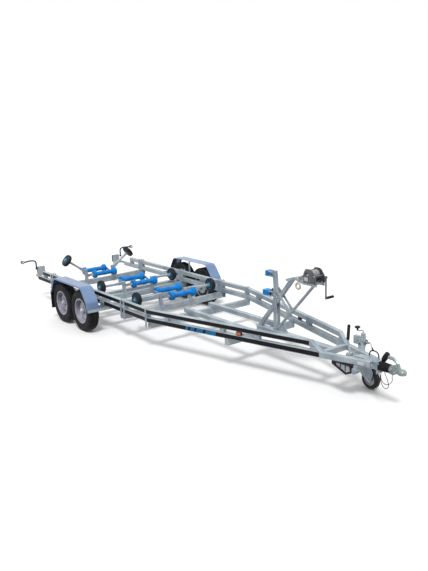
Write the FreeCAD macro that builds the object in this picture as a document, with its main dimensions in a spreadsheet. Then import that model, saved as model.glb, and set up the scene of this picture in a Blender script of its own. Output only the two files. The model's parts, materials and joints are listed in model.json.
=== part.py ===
import FreeCAD, Part
import math
import os
import re
from types import SimpleNamespace

# Driving dimensions in millimetres, angles in degrees.
# Stations run forward from the middle of the two axles, heights up from the floor.
SIZES = {
    "nose_reach": 5270,
    "tail_reach": 2165,
    "lamp_overhang": 215,
    "rail_half_span": 905,
    "nose_half_span": 86.3,
    "rail_width": 60,
    "rail_edge": 7,
    "rail_bend": 1790,
    "bend_radius": 200,
    "lower_rail_bottom": 386,
    "lower_rail_height": 68,
    "nose_overhang": 390,
    "rail_gap": 49,
    "upper_rail_height": 62,
    "upper_rail_setback": 1090,
    "upper_rail_slant": 125,
    "upper_rail_tail": 234,
    "spacer_length": 60,
    "cross_width": 60,
    "cross_height": 90,
    "cross_sag": 17,
    "cross_rear": 1340,
    "cross_middle": 10,
    "cross_front": 1100,
    "cross_bend": 1760,
    "cross_winch_setback": 2220,
    "cross_nose_setback": 970,
    "clamp_length": 120,
    "clamp_strip": 38,
    "clamp_plate": 6,
    "longitudinal_width": 70,
    "longitudinal_height": 60,
    "longitudinal_offset": 215,
    "longitudinal_rear": 1690,
    "longitudinal_wall": 5,
    "mouth_depth": 60,
    "spine_width": 90,
    "axle_spread": 660,
    "axle_tube": 80,
    "axle_lead": 150,
    "axle_setback": 242,
    "arm_thickness": 30,
    "arm_height": 56,
    "stub_radius": 20,
    "tyre_radius": 312,
    "tyre_width": 175,
    "tyre_gap": 129.5,
    "bead_half_width": 70,
    "bead_height": 12,
    "rim_seat_radius": 178,
    "rim_wall": 6,
    "hub_radius": 44,
    "hub_reach": 62,
    "drum_radius": 122,
    "drum_depth": 62,
    "hand_hole_radius": 13,
    "running_fit": 0.05,
    "running_gap": 5,
    "seat_gap": 0.3,
    "fender_shift": 18,
    "fender_width": 190,
    "fender_sheet": 4,
    "fender_rise": 76,
    "fender_crest_front": 460,
    "fender_crest_rear": 500,
    "fender_crest_radius": 120,
    "fender_knee_drop": 200,
    "fender_knee_step": 40,
    "fender_front_foot": 350,
    "fender_rear_foot": 440,
    "fender_clearance": 14,
    "fender_lip": 26,
    "flap_width": 180,
    "flap_height": 290,
    "flap_sheet": 8,
    "post_offset": 262,
    "post_width": 40,
    "post_depth": 50,
    "post_rise": 176,
    "post_strap": 8,
    "cradle_plate": 6,
    "cradle_offset": 230,
    "cradle_pitch": 392,
    "cradle_drop": 44,
    "cradle_height": 46,
    "rear_roller_rise": 106,
    "roller_rise": 155,
    "roller_flange_radius": 67,
    "roller_flange_width": 56,
    "roller_waist_radius": 43,
    "roller_groove": 5,
    "roller_half_length": 222,
    "roller_shaft_radius": 10,
    "pivot_radius": 10,
    "side_wheel_radius": 105,
    "side_wheel_width": 64,
    "side_wheel_inset": 243,
    "side_wheel_rise": 149,
    "rear_side_wheel_inset": 300,
    "rear_side_wheel_rise": 379,
    "side_arm_tube": 36,
    "side_arm_socket": 46,
    "socket_length": 90,
    "side_axle_radius": 13,
    "side_hub_radius": 42,
    "winch_post_width": 50,
    "winch_post_reach": 577,
    "winch_post_rise": 672,
    "winch_strut": 30,
    "winch_strut_foot": 300,
    "winch_strut_reach": 945,
    "gusset_reach": 510,
    "gusset_rise": 120,
    "platform_rear": 535,
    "platform_peak": 685,
    "platform_rest": 830,
    "platform_front": 1040,
    "platform_sheet": 6,
    "platform_half_width": 66,
    "platform_flange": 32,
    "platform_dip": 36,
    "bow_post": 50,
    "bow_plate": 10,
    "bow_post_ahead": 305,
    "bow_post_rise": 539,
    "brace_width": 30,
    "brace_foot_ahead": 570,
    "bow_tube": 50,
    "bow_tube_rise": 201,
    "bow_pin_radius": 10,
    "upper_block_length": 78,
    "lower_block_length": 150,
    "bow_block_width": 90,
    "bow_block_height": 70,
    "upper_block_drop": 38,
    "lower_block_drop": 84,
    "winch_ahead": 938,
    "winch_length": 195,
    "winch_side": 75,
    "winch_height": 162,
    "winch_plate": 5,
    "winch_dome": 50,
    "drum_back": 22,
    "drum_rise": 90,
    "drum_flange_radius": 62,
    "drum_shaft_radius": 10,
    "strap_roll_radius": 50,
    "strap_width": 50,
    "strap_sheet": 4,
    "hook_radius": 40,
    "hook_bore": 16,
    "hook_width": 18,
    "crank_ahead": 30,
    "crank_rise": 35,
    "crank_shaft_radius": 8,
    "crank_side": 170,
    "crank_length": 258,
    "crank_bar": 18,
    "gear_radius": 50,
    "gear_depth": 26,
    "grip_length": 115,
    "grip_radius": 14,
    "mast_setback": 750,
    "mast_gap": 56.7,
    "mast_radius": 24,
    "mast_drop": 14,
    "mast_overlap_length": 90,
    "mast_rise": 160,
    "inner_mast_radius": 20.5,
    "clamp_rise": 135,
    "toggle_radius": 18,
    "toggle_reach": 46,
    "toggle_length": 95,
    "toggle_bar": 9,
    "knob_reach": 62,
    "knob_rise": 46,
    "knob_radius": 21,
    "knob_height": 30,
    "fork_trail": 118,
    "fork_plate": 5,
    "fork_tail": 70,
    "fork_corner": 20,
    "jockey_radius": 114,
    "jockey_width": 60,
    "jockey_rim_radius": 66,
    "jockey_axle_radius": 8,
    "lever_setback": 737,
    "bridge_height": 24,
    "lever_pivot_rise": 28,
    "lever_length": 322,
    "lever_lean": 32,
    "lever_width": 24,
    "lever_sheet": 10,
    "lever_pivot_radius": 10,
    "lever_grip_length": 162,
    "lever_grip_radius": 13,
    "housing_rear_setback": 630,
    "housing_front_setback": 320,
    "housing_half_width": 46,
    "housing_drop": 14,
    "housing_height": 80,
    "housing_flange": 10,
    "bellows_radius": 44,
    "bellows_waist": 33,
    "bellows_setback": 185,
    "coupling_rise": 26,
    "coupling_radius": 46,
    "coupling_body_width": 56,
    "coupling_half_height": 50,
    "ball_radius": 25.25,
    "handle_width": 26,
    "handle_sheet": 16,
    "handle_reach": 140,
    "handle_rise": 78,
    "chock_length": 250,
    "chock_height": 76,
    "chock_heel": 37,
    "chock_width": 75,
    "chock_setback": 815,
    "lead_radius": 6,
    "plug_radius": 22,
    "plug_length": 95,
    "plug_offset": 34,
    "cable_radius": 2.5,
    "lamp_half_width": 68,
    "lamp_height": 128,
    "lamp_depth": 45,
    "lamp_inset": 138,
    "lamp_drop": 30,
    "marker_overhang": 215,
    "marker_rise": 262,
    "marker_arm": 14,
    "marker_radius": 28,
}

TYRE_SHARES = ((0.97, 0.2), (1.0, 0.45), (0.95, 0.72), (0.82, 0.92), (0.66, 1.0))
SPACER_SHARES = (0.13, 0.5, 0.71)
HAND_HOLES = 8
BELLOWS_PLEATS = 6

doc = FreeCAD.newDocument("boat_trailer")
sheet = doc.addObject("Spreadsheet::Sheet", "sizes")
for row, (alias, amount) in enumerate(SIZES.items(), start=1):
    sheet.set(f"A{row}", alias)
    sheet.set(f"B{row}", str(amount))
    sheet.setAlias(f"B{row}", alias)
doc.recompute()
size = SimpleNamespace(**{alias: float(sheet.get(alias)) for alias in SIZES})

NODES = []
UP = FreeCAD.Vector(0, 0, 1)
ACROSS = FreeCAD.Vector(0, 1, 0)
AHEAD = FreeCAD.Vector(1, 0, 0)
SIDES = (("right", -1), ("left", 1))


def point(station, offset, height):
    return FreeCAD.Vector(station, offset, height)


def bind(piece, prop, text):
    """Tie a property to the sheet: every word in the text is one of its aliases."""
    piece.setExpression(prop, re.sub(r"[a-z]\w+", lambda word: "sizes." + word[0], text))


def block(lengths, low):
    """A box along the axes from its low corner."""
    piece = doc.addObject("Part::Box", "block")
    for prop, text in zip(("Length", "Width", "Height"), lengths):
        bind(piece, prop, text)
    piece.Placement.Base = low
    return piece


def bar(width, depth, start, end):
    """A flat bar from one point to another: width level, depth upright."""
    along = end - start
    level = UP.cross(along).normalize() if along.cross(UP).Length else ACROSS
    rise = along.cross(level).normalize()
    piece = doc.addObject("Part::Box", "bar")
    piece.Length = along.Length
    bind(piece, "Width", width)
    bind(piece, "Height", depth)
    doc.recompute([piece])
    turn = FreeCAD.Rotation(along, level, rise, "XZY")
    offset = turn.multVec(point(0, -piece.Width.Value / 2, -piece.Height.Value / 2))
    piece.Placement = FreeCAD.Placement(start + offset, turn)
    return piece


def softened(piece, radius, least):
    """Round the edges of a piece that are longer than a length."""
    doc.recompute()
    rounded = doc.addObject("Part::Fillet", "rounded")
    rounded.Base = piece
    rounded.Edges = [(number, radius, radius) for number, edge in enumerate(piece.Shape.Edges, start=1)
                     if edge.Length > least]
    return rounded


def tube(width, depth, start, end):
    """A rolled square tube: a bar with its long edges rounded."""
    piece = bar(width, depth, start, end)
    least = max(piece.Width.Value, piece.Height.Value) + size.running_fit
    return softened(piece, size.rail_edge, least)


def rod(radius, start, end):
    """A round bar from one point to another."""
    along = end - start
    piece = doc.addObject("Part::Cylinder", "rod")
    bind(piece, "Radius", radius)
    piece.Height = along.Length
    piece.Placement = FreeCAD.Placement(start, FreeCAD.Rotation(UP, along))
    return piece


def outline_edges(outline):
    """Straight runs of a closed outline, with an arc at each corner that gives a radius."""
    corners = [(FreeCAD.Vector(corner[0], corner[1], 0), corner[2] if len(corner) > 2 else 0)
               for corner in outline]
    edges, arrivals, departures = [], [], []
    for index, (corner, radius) in enumerate(corners):
        before = (corners[index - 1][0] - corner).normalize()
        after = (corners[(index + 1) % len(corners)][0] - corner).normalize()
        half_angle = before.getAngle(after) / 2
        setback = radius / math.tan(half_angle)
        arrivals.append(corner + before * setback)
        departures.append(corner + after * setback)
        if radius:
            centre = corner + (before + after).normalize() * (radius / math.sin(half_angle))
            crown = centre + (corner - centre).normalize() * radius
            edges.append(Part.Arc(arrivals[-1], crown, departures[-1]))
    for index, arrival in enumerate(arrivals):
        if arrival.distanceToPoint(departures[index - 1]) > size.running_fit:
            edges.append(Part.LineSegment(departures[index - 1], arrival))
    return edges


def sketched(outline, holes=()):
    """A body with one closed sketch on its XY plane, and closed windows inside it."""
    body = doc.addObject("PartDesign::Body", "body")
    sketch = body.newObject("Sketcher::SketchObject", "outline")
    plane = [datum for datum in body.Origin.OriginFeatures if datum.Role == "XY_Plane"][0]
    sketch.AttachmentSupport = (plane, "")
    sketch.MapMode = "FlatFace"
    for closed in (outline, *holes):
        for edge in outline_edges(closed):
            sketch.addGeometry(edge)
    return body, sketch


def turned(outline, centre, direction):
    """A round piece from its half section: places along its axis and radii."""
    body, sketch = sketched(outline)
    turning = body.newObject("PartDesign::Revolution", "turning")
    turning.Profile = sketch
    turning.ReferenceAxis = (sketch, ["H_Axis"])
    turning.Angle = 360
    body.Placement = FreeCAD.Placement(centre, FreeCAD.Rotation(AHEAD, direction))
    return body


def upright_plate(outline, thickness, origin, heading, holes=()):
    """An upright plate: places along a level heading and heights, centred on its origin."""
    body, sketch = sketched(outline, holes)
    pad = body.newObject("PartDesign::Pad", "plate")
    pad.Profile = sketch
    bind(pad, "Length", thickness)
    pad.Midplane = True
    body.Placement = FreeCAD.Placement(origin, FreeCAD.Rotation(heading, UP, heading.cross(UP), "XYZ"))
    return body


def side_plate(outline, thickness, offset, holes=()):
    """A plate with its outline in side view, stations and heights, centred on an offset."""
    return upright_plate(outline, thickness, point(0, offset, 0), AHEAD, holes)


def plan_plate(outline, thickness, bottom):
    """A plate with its outline seen from above, stations and offsets, from a height up."""
    body, sketch = sketched(outline)
    pad = body.newObject("PartDesign::Pad", "plate")
    pad.Profile = sketch
    bind(pad, "Length", thickness)
    body.Placement.Base = point(0, 0, bottom)
    return body


def sheet_outline(chain, thickness):
    """Both faces of a bent sheet from a chain of corners on its left face."""
    corners = [FreeCAD.Vector(corner[0], corner[1], 0) for corner in chain]
    runs = [(end - start).normalize() for start, end in zip(corners, corners[1:])]
    rights = [FreeCAD.Vector(run.y, -run.x, 0) for run in runs]
    inner = [corners[0] + rights[0] * thickness]
    radii = [0]
    for index in range(1, len(corners) - 1):
        first, second = rights[index - 1], rights[index]
        inner.append(corners[index] + (first + second) * (thickness / (1 + first.dot(second))))
        turn = runs[index - 1].cross(runs[index]).z
        radius = chain[index][2] if len(chain[index]) > 2 else 0
        radii.append(max(0, radius + math.copysign(thickness, turn)) if radius else 0)
    inner.append(corners[-1] + rights[-1] * thickness)
    radii.append(0)
    return list(chain) + [(place.x, place.y, radius) for place, radius in zip(inner, radii)][::-1]


def fused(pieces):
    if len(pieces) == 1:
        return pieces[0]
    whole = doc.addObject("Part::MultiFuse", "joined")
    whole.Shapes = pieces
    whole.Refine = True
    return whole


def cut(piece, tools):
    rest = doc.addObject("Part::Cut", "cut")
    rest.Base = piece
    rest.Tool = fused(tools)
    return rest


def cord_tube(route, radius):
    """A tube along straight runs joined by arcs as large as the runs allow."""
    edges, start = [], route[0]
    for before, corner, after in zip(route, route[1:], route[2:]):
        back = (before - corner).normalize()
        on = (after - corner).normalize()
        setback = 0.45 * min(before.distanceToPoint(corner), corner.distanceToPoint(after))
        half_angle = back.getAngle(on) / 2
        bend = setback * math.tan(half_angle)
        centre = corner + (back + on).normalize() * (bend / math.sin(half_angle))
        crown = centre + (corner - centre).normalize() * bend
        edges.append(Part.LineSegment(start, corner + back * setback).toShape())
        edges.append(Part.Arc(corner + back * setback, crown, corner + on * setback).toShape())
        start = corner + on * setback
    edges.append(Part.LineSegment(start, route[-1]).toShape())
    path = Part.Wire(edges)
    ring = Part.Wire(Part.makeCircle(radius, route[0], route[1] - route[0]))
    piece = doc.addObject("Part::Feature", "cord")
    piece.Shape = path.makePipeShell([ring], True, False)
    if abs(piece.Shape.Volume / (math.pi * radius ** 2 * path.Length) - 1) > 0.01:
        raise RuntimeError("the cord's volume is not its section times its length")
    return piece


def node(label, pieces):
    """Name a sub-part. Several pieces that do not touch stay separate solids."""
    whole = doc.addObject("Part::Compound", label)
    whole.Label = label
    whole.Links = pieces
    NODES.append(whole)


rail_rear = size.tail_reach - size.lamp_overhang
lower_rail_front = size.nose_reach - size.nose_overhang
upper_rail_front = size.nose_reach - size.upper_rail_setback
upper_rail_rear = rail_rear - size.upper_rail_tail
rail_slope = (size.rail_half_span - size.nose_half_span) / (lower_rail_front - size.rail_bend)
taper = math.atan(rail_slope)
lower_rail_top = size.lower_rail_bottom + size.lower_rail_height
upper_rail_bottom = lower_rail_top + size.rail_gap
upper_rail_top = upper_rail_bottom + size.upper_rail_height
cross_bottom = size.lower_rail_bottom - size.cross_height
rail_middle = size.rail_half_span - size.rail_width / 2
inner_bend_station = size.rail_bend - size.rail_width * math.tan(taper / 2)
cross_winch = size.nose_reach - size.cross_winch_setback
cross_nose = size.nose_reach - size.cross_nose_setback
tyre_centre = size.rail_half_span + size.tyre_gap + size.tyre_width / 2
rim_half_width = size.bead_half_width + size.rim_wall
fender_centre = tyre_centre + size.fender_shift
fender_top = 2 * size.tyre_radius + size.fender_rise
fender_reach = size.axle_spread / 2 + size.tyre_radius + size.fender_clearance
wheel_stations = {"rear": -size.axle_spread / 2, "front": size.axle_spread / 2}
cradle_stations = {"rear": -size.cross_rear, "middle": size.cross_middle, "front": size.cross_front}
post_top = size.lower_rail_bottom + size.post_rise
spine_top = size.lower_rail_bottom + size.longitudinal_height
coupling_height = size.lower_rail_bottom + size.coupling_rise


def rail_outer(station):
    """Half width over the rails at a station."""
    return size.rail_half_span - rail_slope * max(0, station - size.rail_bend)


def rail_inner(station):
    straight = size.rail_half_span - size.rail_width
    return min(straight, rail_outer(station) - size.rail_width / math.cos(taper))


def rail(side, rear, front, height, bottom):
    """One long beam, straight to the bend and then drawn in towards the nose."""
    outline = [
        (-rear, side * size.rail_half_span),
        (size.rail_bend, side * size.rail_half_span, size.bend_radius + size.rail_width),
        (front, side * rail_outer(front)),
        (front, side * rail_inner(front)),
        (inner_bend_station, side * (size.rail_half_span - size.rail_width), size.bend_radius),
        (-rear, side * (size.rail_half_span - size.rail_width)),
    ]
    return plan_plate(outline, height, bottom)


def lower_rail(side):
    return rail(side, rail_rear, lower_rail_front, "lower_rail_height", size.lower_rail_bottom)


def front_slant(side):
    """The wedge of space in front of an upper rail's sloping end."""
    top = upper_rail_top + size.rail_gap
    run = size.upper_rail_slant / (upper_rail_top - lower_rail_top)
    far = upper_rail_front + 2 * size.upper_rail_slant
    outline = [
        (upper_rail_front - run * size.rail_gap, top),
        (far, top),
        (far, lower_rail_top),
        (upper_rail_front + size.upper_rail_slant, lower_rail_top),
    ]
    middle = side * (rail_outer(upper_rail_front) + rail_inner(upper_rail_front)) / 2
    return side_plate(outline, "4 * rail_width", middle)


def rails():
    """Lower and upper rails with rounded edges, the upper ones with a sloping front end."""
    for name, side in SIDES:
        lower = softened(lower_rail(side), size.rail_edge, size.lower_rail_height + size.running_fit)
        node(f"lower_rail_{name}", [lower])
        end = upper_rail_front + size.upper_rail_slant
        upper = rail(side, upper_rail_rear, end, "upper_rail_height", upper_rail_bottom)
        upper = softened(upper, size.rail_edge, size.lower_rail_height + size.running_fit)
        node(f"upper_rail_{name}", [cut(upper, [front_slant(side)])])


def rail_spacers():
    """Short blocks between the rails: at both ends, and at shares of the run past the bend."""
    pieces = []
    half = size.spacer_length / 2
    run = upper_rail_front - size.rail_bend
    stations = [-upper_rail_rear + half] + [size.rail_bend + run * share for share in SPACER_SHARES]
    height = lower_rail_top + size.rail_gap / 2
    for _, side in SIDES:
        for station in stations:
            ends = [point(place, side * (rail_outer(place) + rail_inner(place)) / 2, height)
                    for place in (station - half, station + half)]
            pieces.append(bar("rail_width", "rail_gap", *ends))
        ends = [point(place, side * (rail_outer(place) + rail_inner(place)) / 2, height)
                for place in (upper_rail_front, upper_rail_front + size.upper_rail_slant)]
        pieces.append(cut(bar("rail_width", "rail_gap", *ends), [front_slant(side)]))
    node("rail_spacers", pieces)


def rail_clamps():
    """Strips that grip both rails over each roller crossbeam, and a single one at the bend."""
    pieces = []
    half = (size.clamp_length - size.clamp_strip) / 2
    places = [(station, (-half, half)) for station in cradle_stations.values()]
    bend_start = size.rail_bend - (size.bend_radius + size.rail_width) * math.tan(taper / 2)
    places.append((bend_start - size.clamp_strip / 2, (0,)))
    plate_height = "lower_rail_height + rail_gap + upper_rail_height"
    inner_face = size.rail_half_span - size.rail_width
    for _, side in SIDES:
        for station, shifts in places:
            strips = []
            for shift in shifts:
                rear = station + shift - size.clamp_strip / 2
                outer = side * (size.rail_half_span + size.clamp_plate / 2) - size.clamp_plate / 2
                inner = side * (inner_face - size.clamp_plate / 2) - size.clamp_plate / 2
                strips.append(block(("clamp_strip", "clamp_plate", plate_height + " + cross_height"),
                                    point(rear, outer, cross_bottom)))
                strips.append(block(("clamp_strip", "clamp_plate", plate_height),
                                    point(rear, inner, size.lower_rail_bottom)))
            length = max(shifts) - min(shifts) + size.clamp_strip
            ends = [point(station + share * length, side * rail_middle, 0) for share in (-0.5, 0.5)]
            over = UP * (upper_rail_top + size.clamp_plate / 2)
            between = UP * (lower_rail_top + size.rail_gap / 2)
            strips.append(bar("rail_width + 2 * clamp_plate", "clamp_plate", *[end + over for end in ends]))
            strips.append(bar("rail_width", "rail_gap", *[end + between for end in ends]))
            pieces.append(fused(strips))
    node("rail_clamps", pieces)


def bent_crossbeam(station):
    """A crossbeam that dips a little to its middle, with its long edges rounded."""
    span = size.rail_half_span
    outline = [
        (-span, size.lower_rail_bottom),
        (0, size.lower_rail_bottom - size.cross_sag),
        (span, size.lower_rail_bottom),
        (span, cross_bottom),
        (0, cross_bottom - size.cross_sag),
        (-span, cross_bottom),
    ]
    return upright_plate(outline, "cross_width", point(station, 0, 0), ACROSS)


def crossbeam(station, half_span, bottom, height="cross_height"):
    middle = bottom + getattr(size, height) / 2
    return tube("cross_width", height, point(station, -half_span, middle), point(station, half_span, middle))


def cradle_heights(name):
    rise = size.rear_roller_rise if name == "rear" else size.roller_rise
    axis = size.lower_rail_bottom + rise
    return axis, axis - size.cradle_drop


def roller_crossbeams():
    """Crossbeams under the rails, each with two posts and their straps for its roller cradle."""
    beams = []
    for name, station in cradle_stations.items():
        pieces = [bent_crossbeam(station)]
        _, pivot_height = cradle_heights(name)
        foot = size.lower_rail_bottom - size.cross_sag
        for _, side in SIDES:
            low = side * size.post_offset - size.post_width / 2
            pieces.append(block(("post_depth", "post_width", "post_rise + cross_sag"),
                                point(station - size.post_depth / 2, low, foot)))
            pieces.append(block(("post_strap", "post_width", "cross_height + cross_sag + post_width"),
                                point(station + size.cross_width / 2, low, cross_bottom - size.cross_sag)))
        bore_end = size.post_offset + size.post_width
        bore = rod("pivot_radius + running_fit", point(station, -bore_end, pivot_height),
                   point(station, bore_end, pivot_height))
        beams.append(cut(fused(pieces), [bore]))
    node("roller_crossbeams", beams)


def frame_crossbeams():
    """The plain crossbeams at the bend, under the winch post and behind the nose."""
    winch_half = rail_outer(cross_winch + size.cross_width / 2)
    nose_half = rail_inner(cross_nose + size.cross_width / 2)
    node("frame_crossbeams", [
        crossbeam(size.cross_bend, rail_middle, cross_bottom),
        crossbeam(cross_winch, winch_half, cross_bottom),
        crossbeam(cross_nose, nose_half, size.lower_rail_bottom, "lower_rail_height"),
    ])


def centre_tubes():
    """Two open tubes from the bend to the winch crossbeam and the spine from there to the nose."""
    middle = size.lower_rail_bottom + size.longitudinal_height / 2
    front = cross_winch + size.cross_width / 2
    pieces = []
    for _, side in SIDES:
        offset = side * size.longitudinal_offset
        mouth = bar("longitudinal_width - 2 * longitudinal_wall", "longitudinal_height - 2 * longitudinal_wall",
                    point(size.longitudinal_rear - size.mouth_depth, offset, middle),
                    point(size.longitudinal_rear + size.mouth_depth, offset, middle))
        pieces.append(cut(tube("longitudinal_width", "longitudinal_height",
                               point(size.longitudinal_rear, offset, middle),
                               point(front, offset, middle)), [mouth]))
    pieces.append(tube("spine_width", "longitudinal_height",
                       point(cross_winch - size.cross_width / 2, 0, middle),
                       point(cross_nose - size.cross_width / 2, 0, middle)))
    node("centre_tubes", pieces)


def axles():
    """Rubber sprung axles: a square tube, two trailing arms, back plates and stubs."""
    tube_middle = size.lower_rail_bottom - size.axle_tube / 2
    half_length = tyre_centre - size.axle_setback
    for name, station in wheel_stations.items():
        lead = station + size.axle_lead
        pieces = [bar("axle_tube", "axle_tube", point(lead, -half_length, tube_middle),
                      point(lead, half_length, tube_middle))]
        for _, side in SIDES:
            arm_offset = side * (half_length + size.arm_thickness / 2)
            pieces.append(bar("arm_thickness", "arm_height",
                              point(lead + size.arm_height / 2, arm_offset, tube_middle),
                              point(station - size.arm_height / 2, arm_offset, size.tyre_radius)))
            plate = side * (tyre_centre - rim_half_width)
            tip = side * (tyre_centre + size.hub_reach - size.hub_radius)
            pieces.append(rod("stub_radius", point(station, side * half_length, size.tyre_radius),
                              point(station, tip, size.tyre_radius)))
            pieces.append(rod("drum_radius - rim_wall",
                              point(station, plate - side * size.rim_wall, size.tyre_radius),
                              point(station, plate, size.tyre_radius)))
        node(f"axle_{name}", [fused(pieces)])


def tyre_section():
    """Half section of a road tyre that seats on the rim between its flanges."""
    half = size.tyre_width / 2
    depth = size.tyre_radius - size.rim_seat_radius
    bead = size.bead_half_width
    wall = [(bead, size.rim_seat_radius), (bead, size.rim_seat_radius + size.bead_height)]
    wall += [(half * width, size.rim_seat_radius + depth * rise) for width, rise in TYRE_SHARES]
    return wall + [(-along, radius) for along, radius in reversed(wall)]


def rim_section():
    """Half section of a rim with flanges, a dished disc, hub and brake drum, outer face towards plus."""
    bead = size.bead_half_width
    flange = rim_half_width
    seat = size.rim_seat_radius
    inside = seat - size.rim_wall
    lip = seat + size.bead_height
    drum_back = -flange + size.running_gap
    disc = drum_back + size.drum_depth
    bore = size.stub_radius + size.running_fit
    bore_end = size.hub_reach - size.hub_radius + size.running_gap
    return [
        (drum_back, bore),
        (bore_end, bore),
        (bore_end, 0),
        (size.hub_reach, 0),
        (size.hub_reach, size.hub_radius * 0.7),
        (size.hub_reach - 2 * size.rim_wall, size.hub_radius),
        (disc + size.rim_wall, size.hub_radius),
        (disc + 5 * size.rim_wall, size.drum_radius),
        (disc + 2 * size.rim_wall, inside),
        (flange, inside),
        (flange, lip),
        (bead, lip),
        (bead, seat),
        (-bead, seat),
        (-bead, lip),
        (-flange, lip),
        (-flange, inside),
        (disc + size.rim_wall, inside),
        (disc + size.rim_wall, size.drum_radius),
        (drum_back, size.drum_radius),
    ]


def rim(centre, direction):
    """A rim with a ring of hand holes through its disc, outside the drum."""
    circle = (size.drum_radius + size.rim_seat_radius - size.rim_wall) / 2
    holes = []
    for step in range(HAND_HOLES):
        angle = 2 * math.pi * step / HAND_HOLES
        spot = centre + AHEAD * circle * math.cos(angle) + UP * circle * math.sin(angle)
        holes.append(rod("hand_hole_radius", spot - direction * rim_half_width, spot + direction * rim_half_width))
    return cut(turned(rim_section(), centre, direction), holes)


def road_wheels():
    for row_name, station in wheel_stations.items():
        for side_name, side in SIDES:
            centre = point(station, side * tyre_centre, size.tyre_radius)
            node(f"tyre_{row_name}_{side_name}", [turned(tyre_section(), centre, side * ACROSS)])
            node(f"rim_{row_name}_{side_name}", [rim(centre, side * ACROSS)])


def fender_chain():
    """Side view of the bent sheet over both wheels, from its rear foot to its front one."""
    front = size.fender_crest_front
    rear = -size.fender_crest_rear
    knee = fender_top - size.fender_knee_drop
    radius = size.fender_crest_radius
    return [
        (-fender_reach, size.fender_rear_foot),
        (-fender_reach + size.fender_knee_step, knee, radius),
        (rear, fender_top, radius),
        (front, fender_top, radius),
        (fender_reach - size.fender_knee_step, knee, radius),
        (fender_reach, size.fender_front_foot),
    ]


def fenders():
    """Bent fender sheets, each with a lip folded down along its outer edge."""
    sheet_side = sheet_outline(fender_chain(), size.fender_sheet)
    lip_side = sheet_outline(fender_chain(), size.fender_lip)
    for name, side in SIDES:
        edge = side * (fender_centre + size.fender_width / 2 - size.fender_sheet / 2)
        node(f"fender_{name}", [fused([side_plate(sheet_side, "fender_width", side * fender_centre),
                                       side_plate(lip_side, "fender_sheet", edge)])])


def fender_brackets():
    """Irons from the rails out to each fender: one between the wheels, one at each foot."""
    pieces = []
    inner_edge = fender_centre - size.fender_width / 2
    under = fender_top - size.fender_sheet
    arm_height = upper_rail_bottom + size.clamp_plate
    half = size.post_width / 2
    iron_outer = fender_centre + size.flap_width / 2
    for _, side in SIDES:
        foot = point(0, side * (size.rail_half_span + size.clamp_plate), arm_height)
        knee = point(0, side * (inner_edge - size.clamp_plate), arm_height)
        upright = bar("clamp_plate", "post_width", knee - UP * size.clamp_plate / 2,
                      point(0, knee.y, under))
        shelf = bar("post_width", "clamp_plate", point(0, knee.y, under - size.clamp_plate / 2),
                    point(0, side * (inner_edge + size.post_width), under - size.clamp_plate / 2))
        pieces.append(fused([bar("post_width", "clamp_plate", foot, knee), upright, shelf]))
        rear = -fender_reach - size.flap_sheet - size.clamp_plate / 2
        front = fender_reach + size.clamp_plate / 2
        irons = ((rear, size.rail_half_span, size.fender_rear_foot - half),
                 (front, size.rail_half_span - size.rail_width, size.lower_rail_bottom - half))
        for station, root, level in irons:
            pieces.append(bar("clamp_plate", "post_width", point(station, side * root, level),
                              point(station, side * iron_outer, level)))
    node("fender_brackets", pieces)


def mud_flaps():
    pieces = []
    for _, side in SIDES:
        low = side * fender_centre - size.flap_width / 2
        top = size.fender_rear_foot + size.fender_lip
        pieces.append(block(("flap_sheet", "flap_width", "flap_height"),
                            point(-fender_reach - size.flap_sheet, low, top - size.flap_height)))
    node("mud_flaps", pieces)


def cradles():
    """Tandem roller cradles that rock on a pivot through the posts of their crossbeam."""
    half = size.cradle_pitch / 2
    ear = size.cradle_height / 2
    for name, station in cradle_stations.items():
        axis, pivot = cradle_heights(name)
        outline = [
            (station - half - ear, axis - ear, ear * 0.9),
            (station - half + ear, axis - ear, ear),
            (station - ear, pivot - ear, ear),
            (station + ear, pivot - ear, ear),
            (station + half - ear, axis - ear, ear),
            (station + half + ear, axis - ear, ear * 0.9),
            (station + half + ear, axis + ear, ear * 0.9),
            (station + half - ear, axis + ear, ear),
            (station + ear, pivot + ear, ear),
            (station - ear, pivot + ear, ear),
            (station - half + ear, axis + ear, ear),
            (station - half - ear, axis + ear, ear * 0.9),
        ]
        pieces = [side_plate(outline, "cradle_plate", side * size.cradle_offset) for _, side in SIDES]
        shaft_end = size.cradle_offset + size.cradle_plate
        for place in (station - half, station + half):
            pieces.append(rod("roller_shaft_radius", point(place, -shaft_end, axis),
                              point(place, shaft_end, axis)))
        pivot_end = size.post_offset + size.post_width / 2 + size.cradle_plate
        pieces.append(rod("pivot_radius", point(station, -pivot_end, pivot),
                          point(station, pivot_end, pivot)))
        node(f"cradle_{name}", [fused(pieces)])


def keel_rollers():
    """Rollers with a waist for the keel and a groove round each broad end."""
    half_length = size.roller_half_length
    flange = half_length - size.roller_flange_width
    middle = half_length - size.roller_flange_width / 2
    big = size.roller_flange_radius
    waist = size.roller_waist_radius
    groove = size.roller_groove
    bevel = 2 * groove
    wall = [
        (half_length, big - bevel),
        (half_length - bevel, big),
        (middle + groove, big),
        (middle + groove, big - groove),
        (middle - groove, big - groove),
        (middle - groove, big),
        (flange + bevel, big),
        (flange - bevel, waist),
    ]
    bore = size.roller_shaft_radius + size.running_fit
    section = [(half_length, bore)] + wall
    section += [(-along, radius) for along, radius in reversed(section)]
    for name, station in cradle_stations.items():
        axis, _ = cradle_heights(name)
        for place, shift in (("back", -size.cradle_pitch / 2), ("fore", size.cradle_pitch / 2)):
            node(f"keel_roller_{name}_{place}",
                 [turned(section, point(station + shift, 0, axis), ACROSS)])


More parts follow.
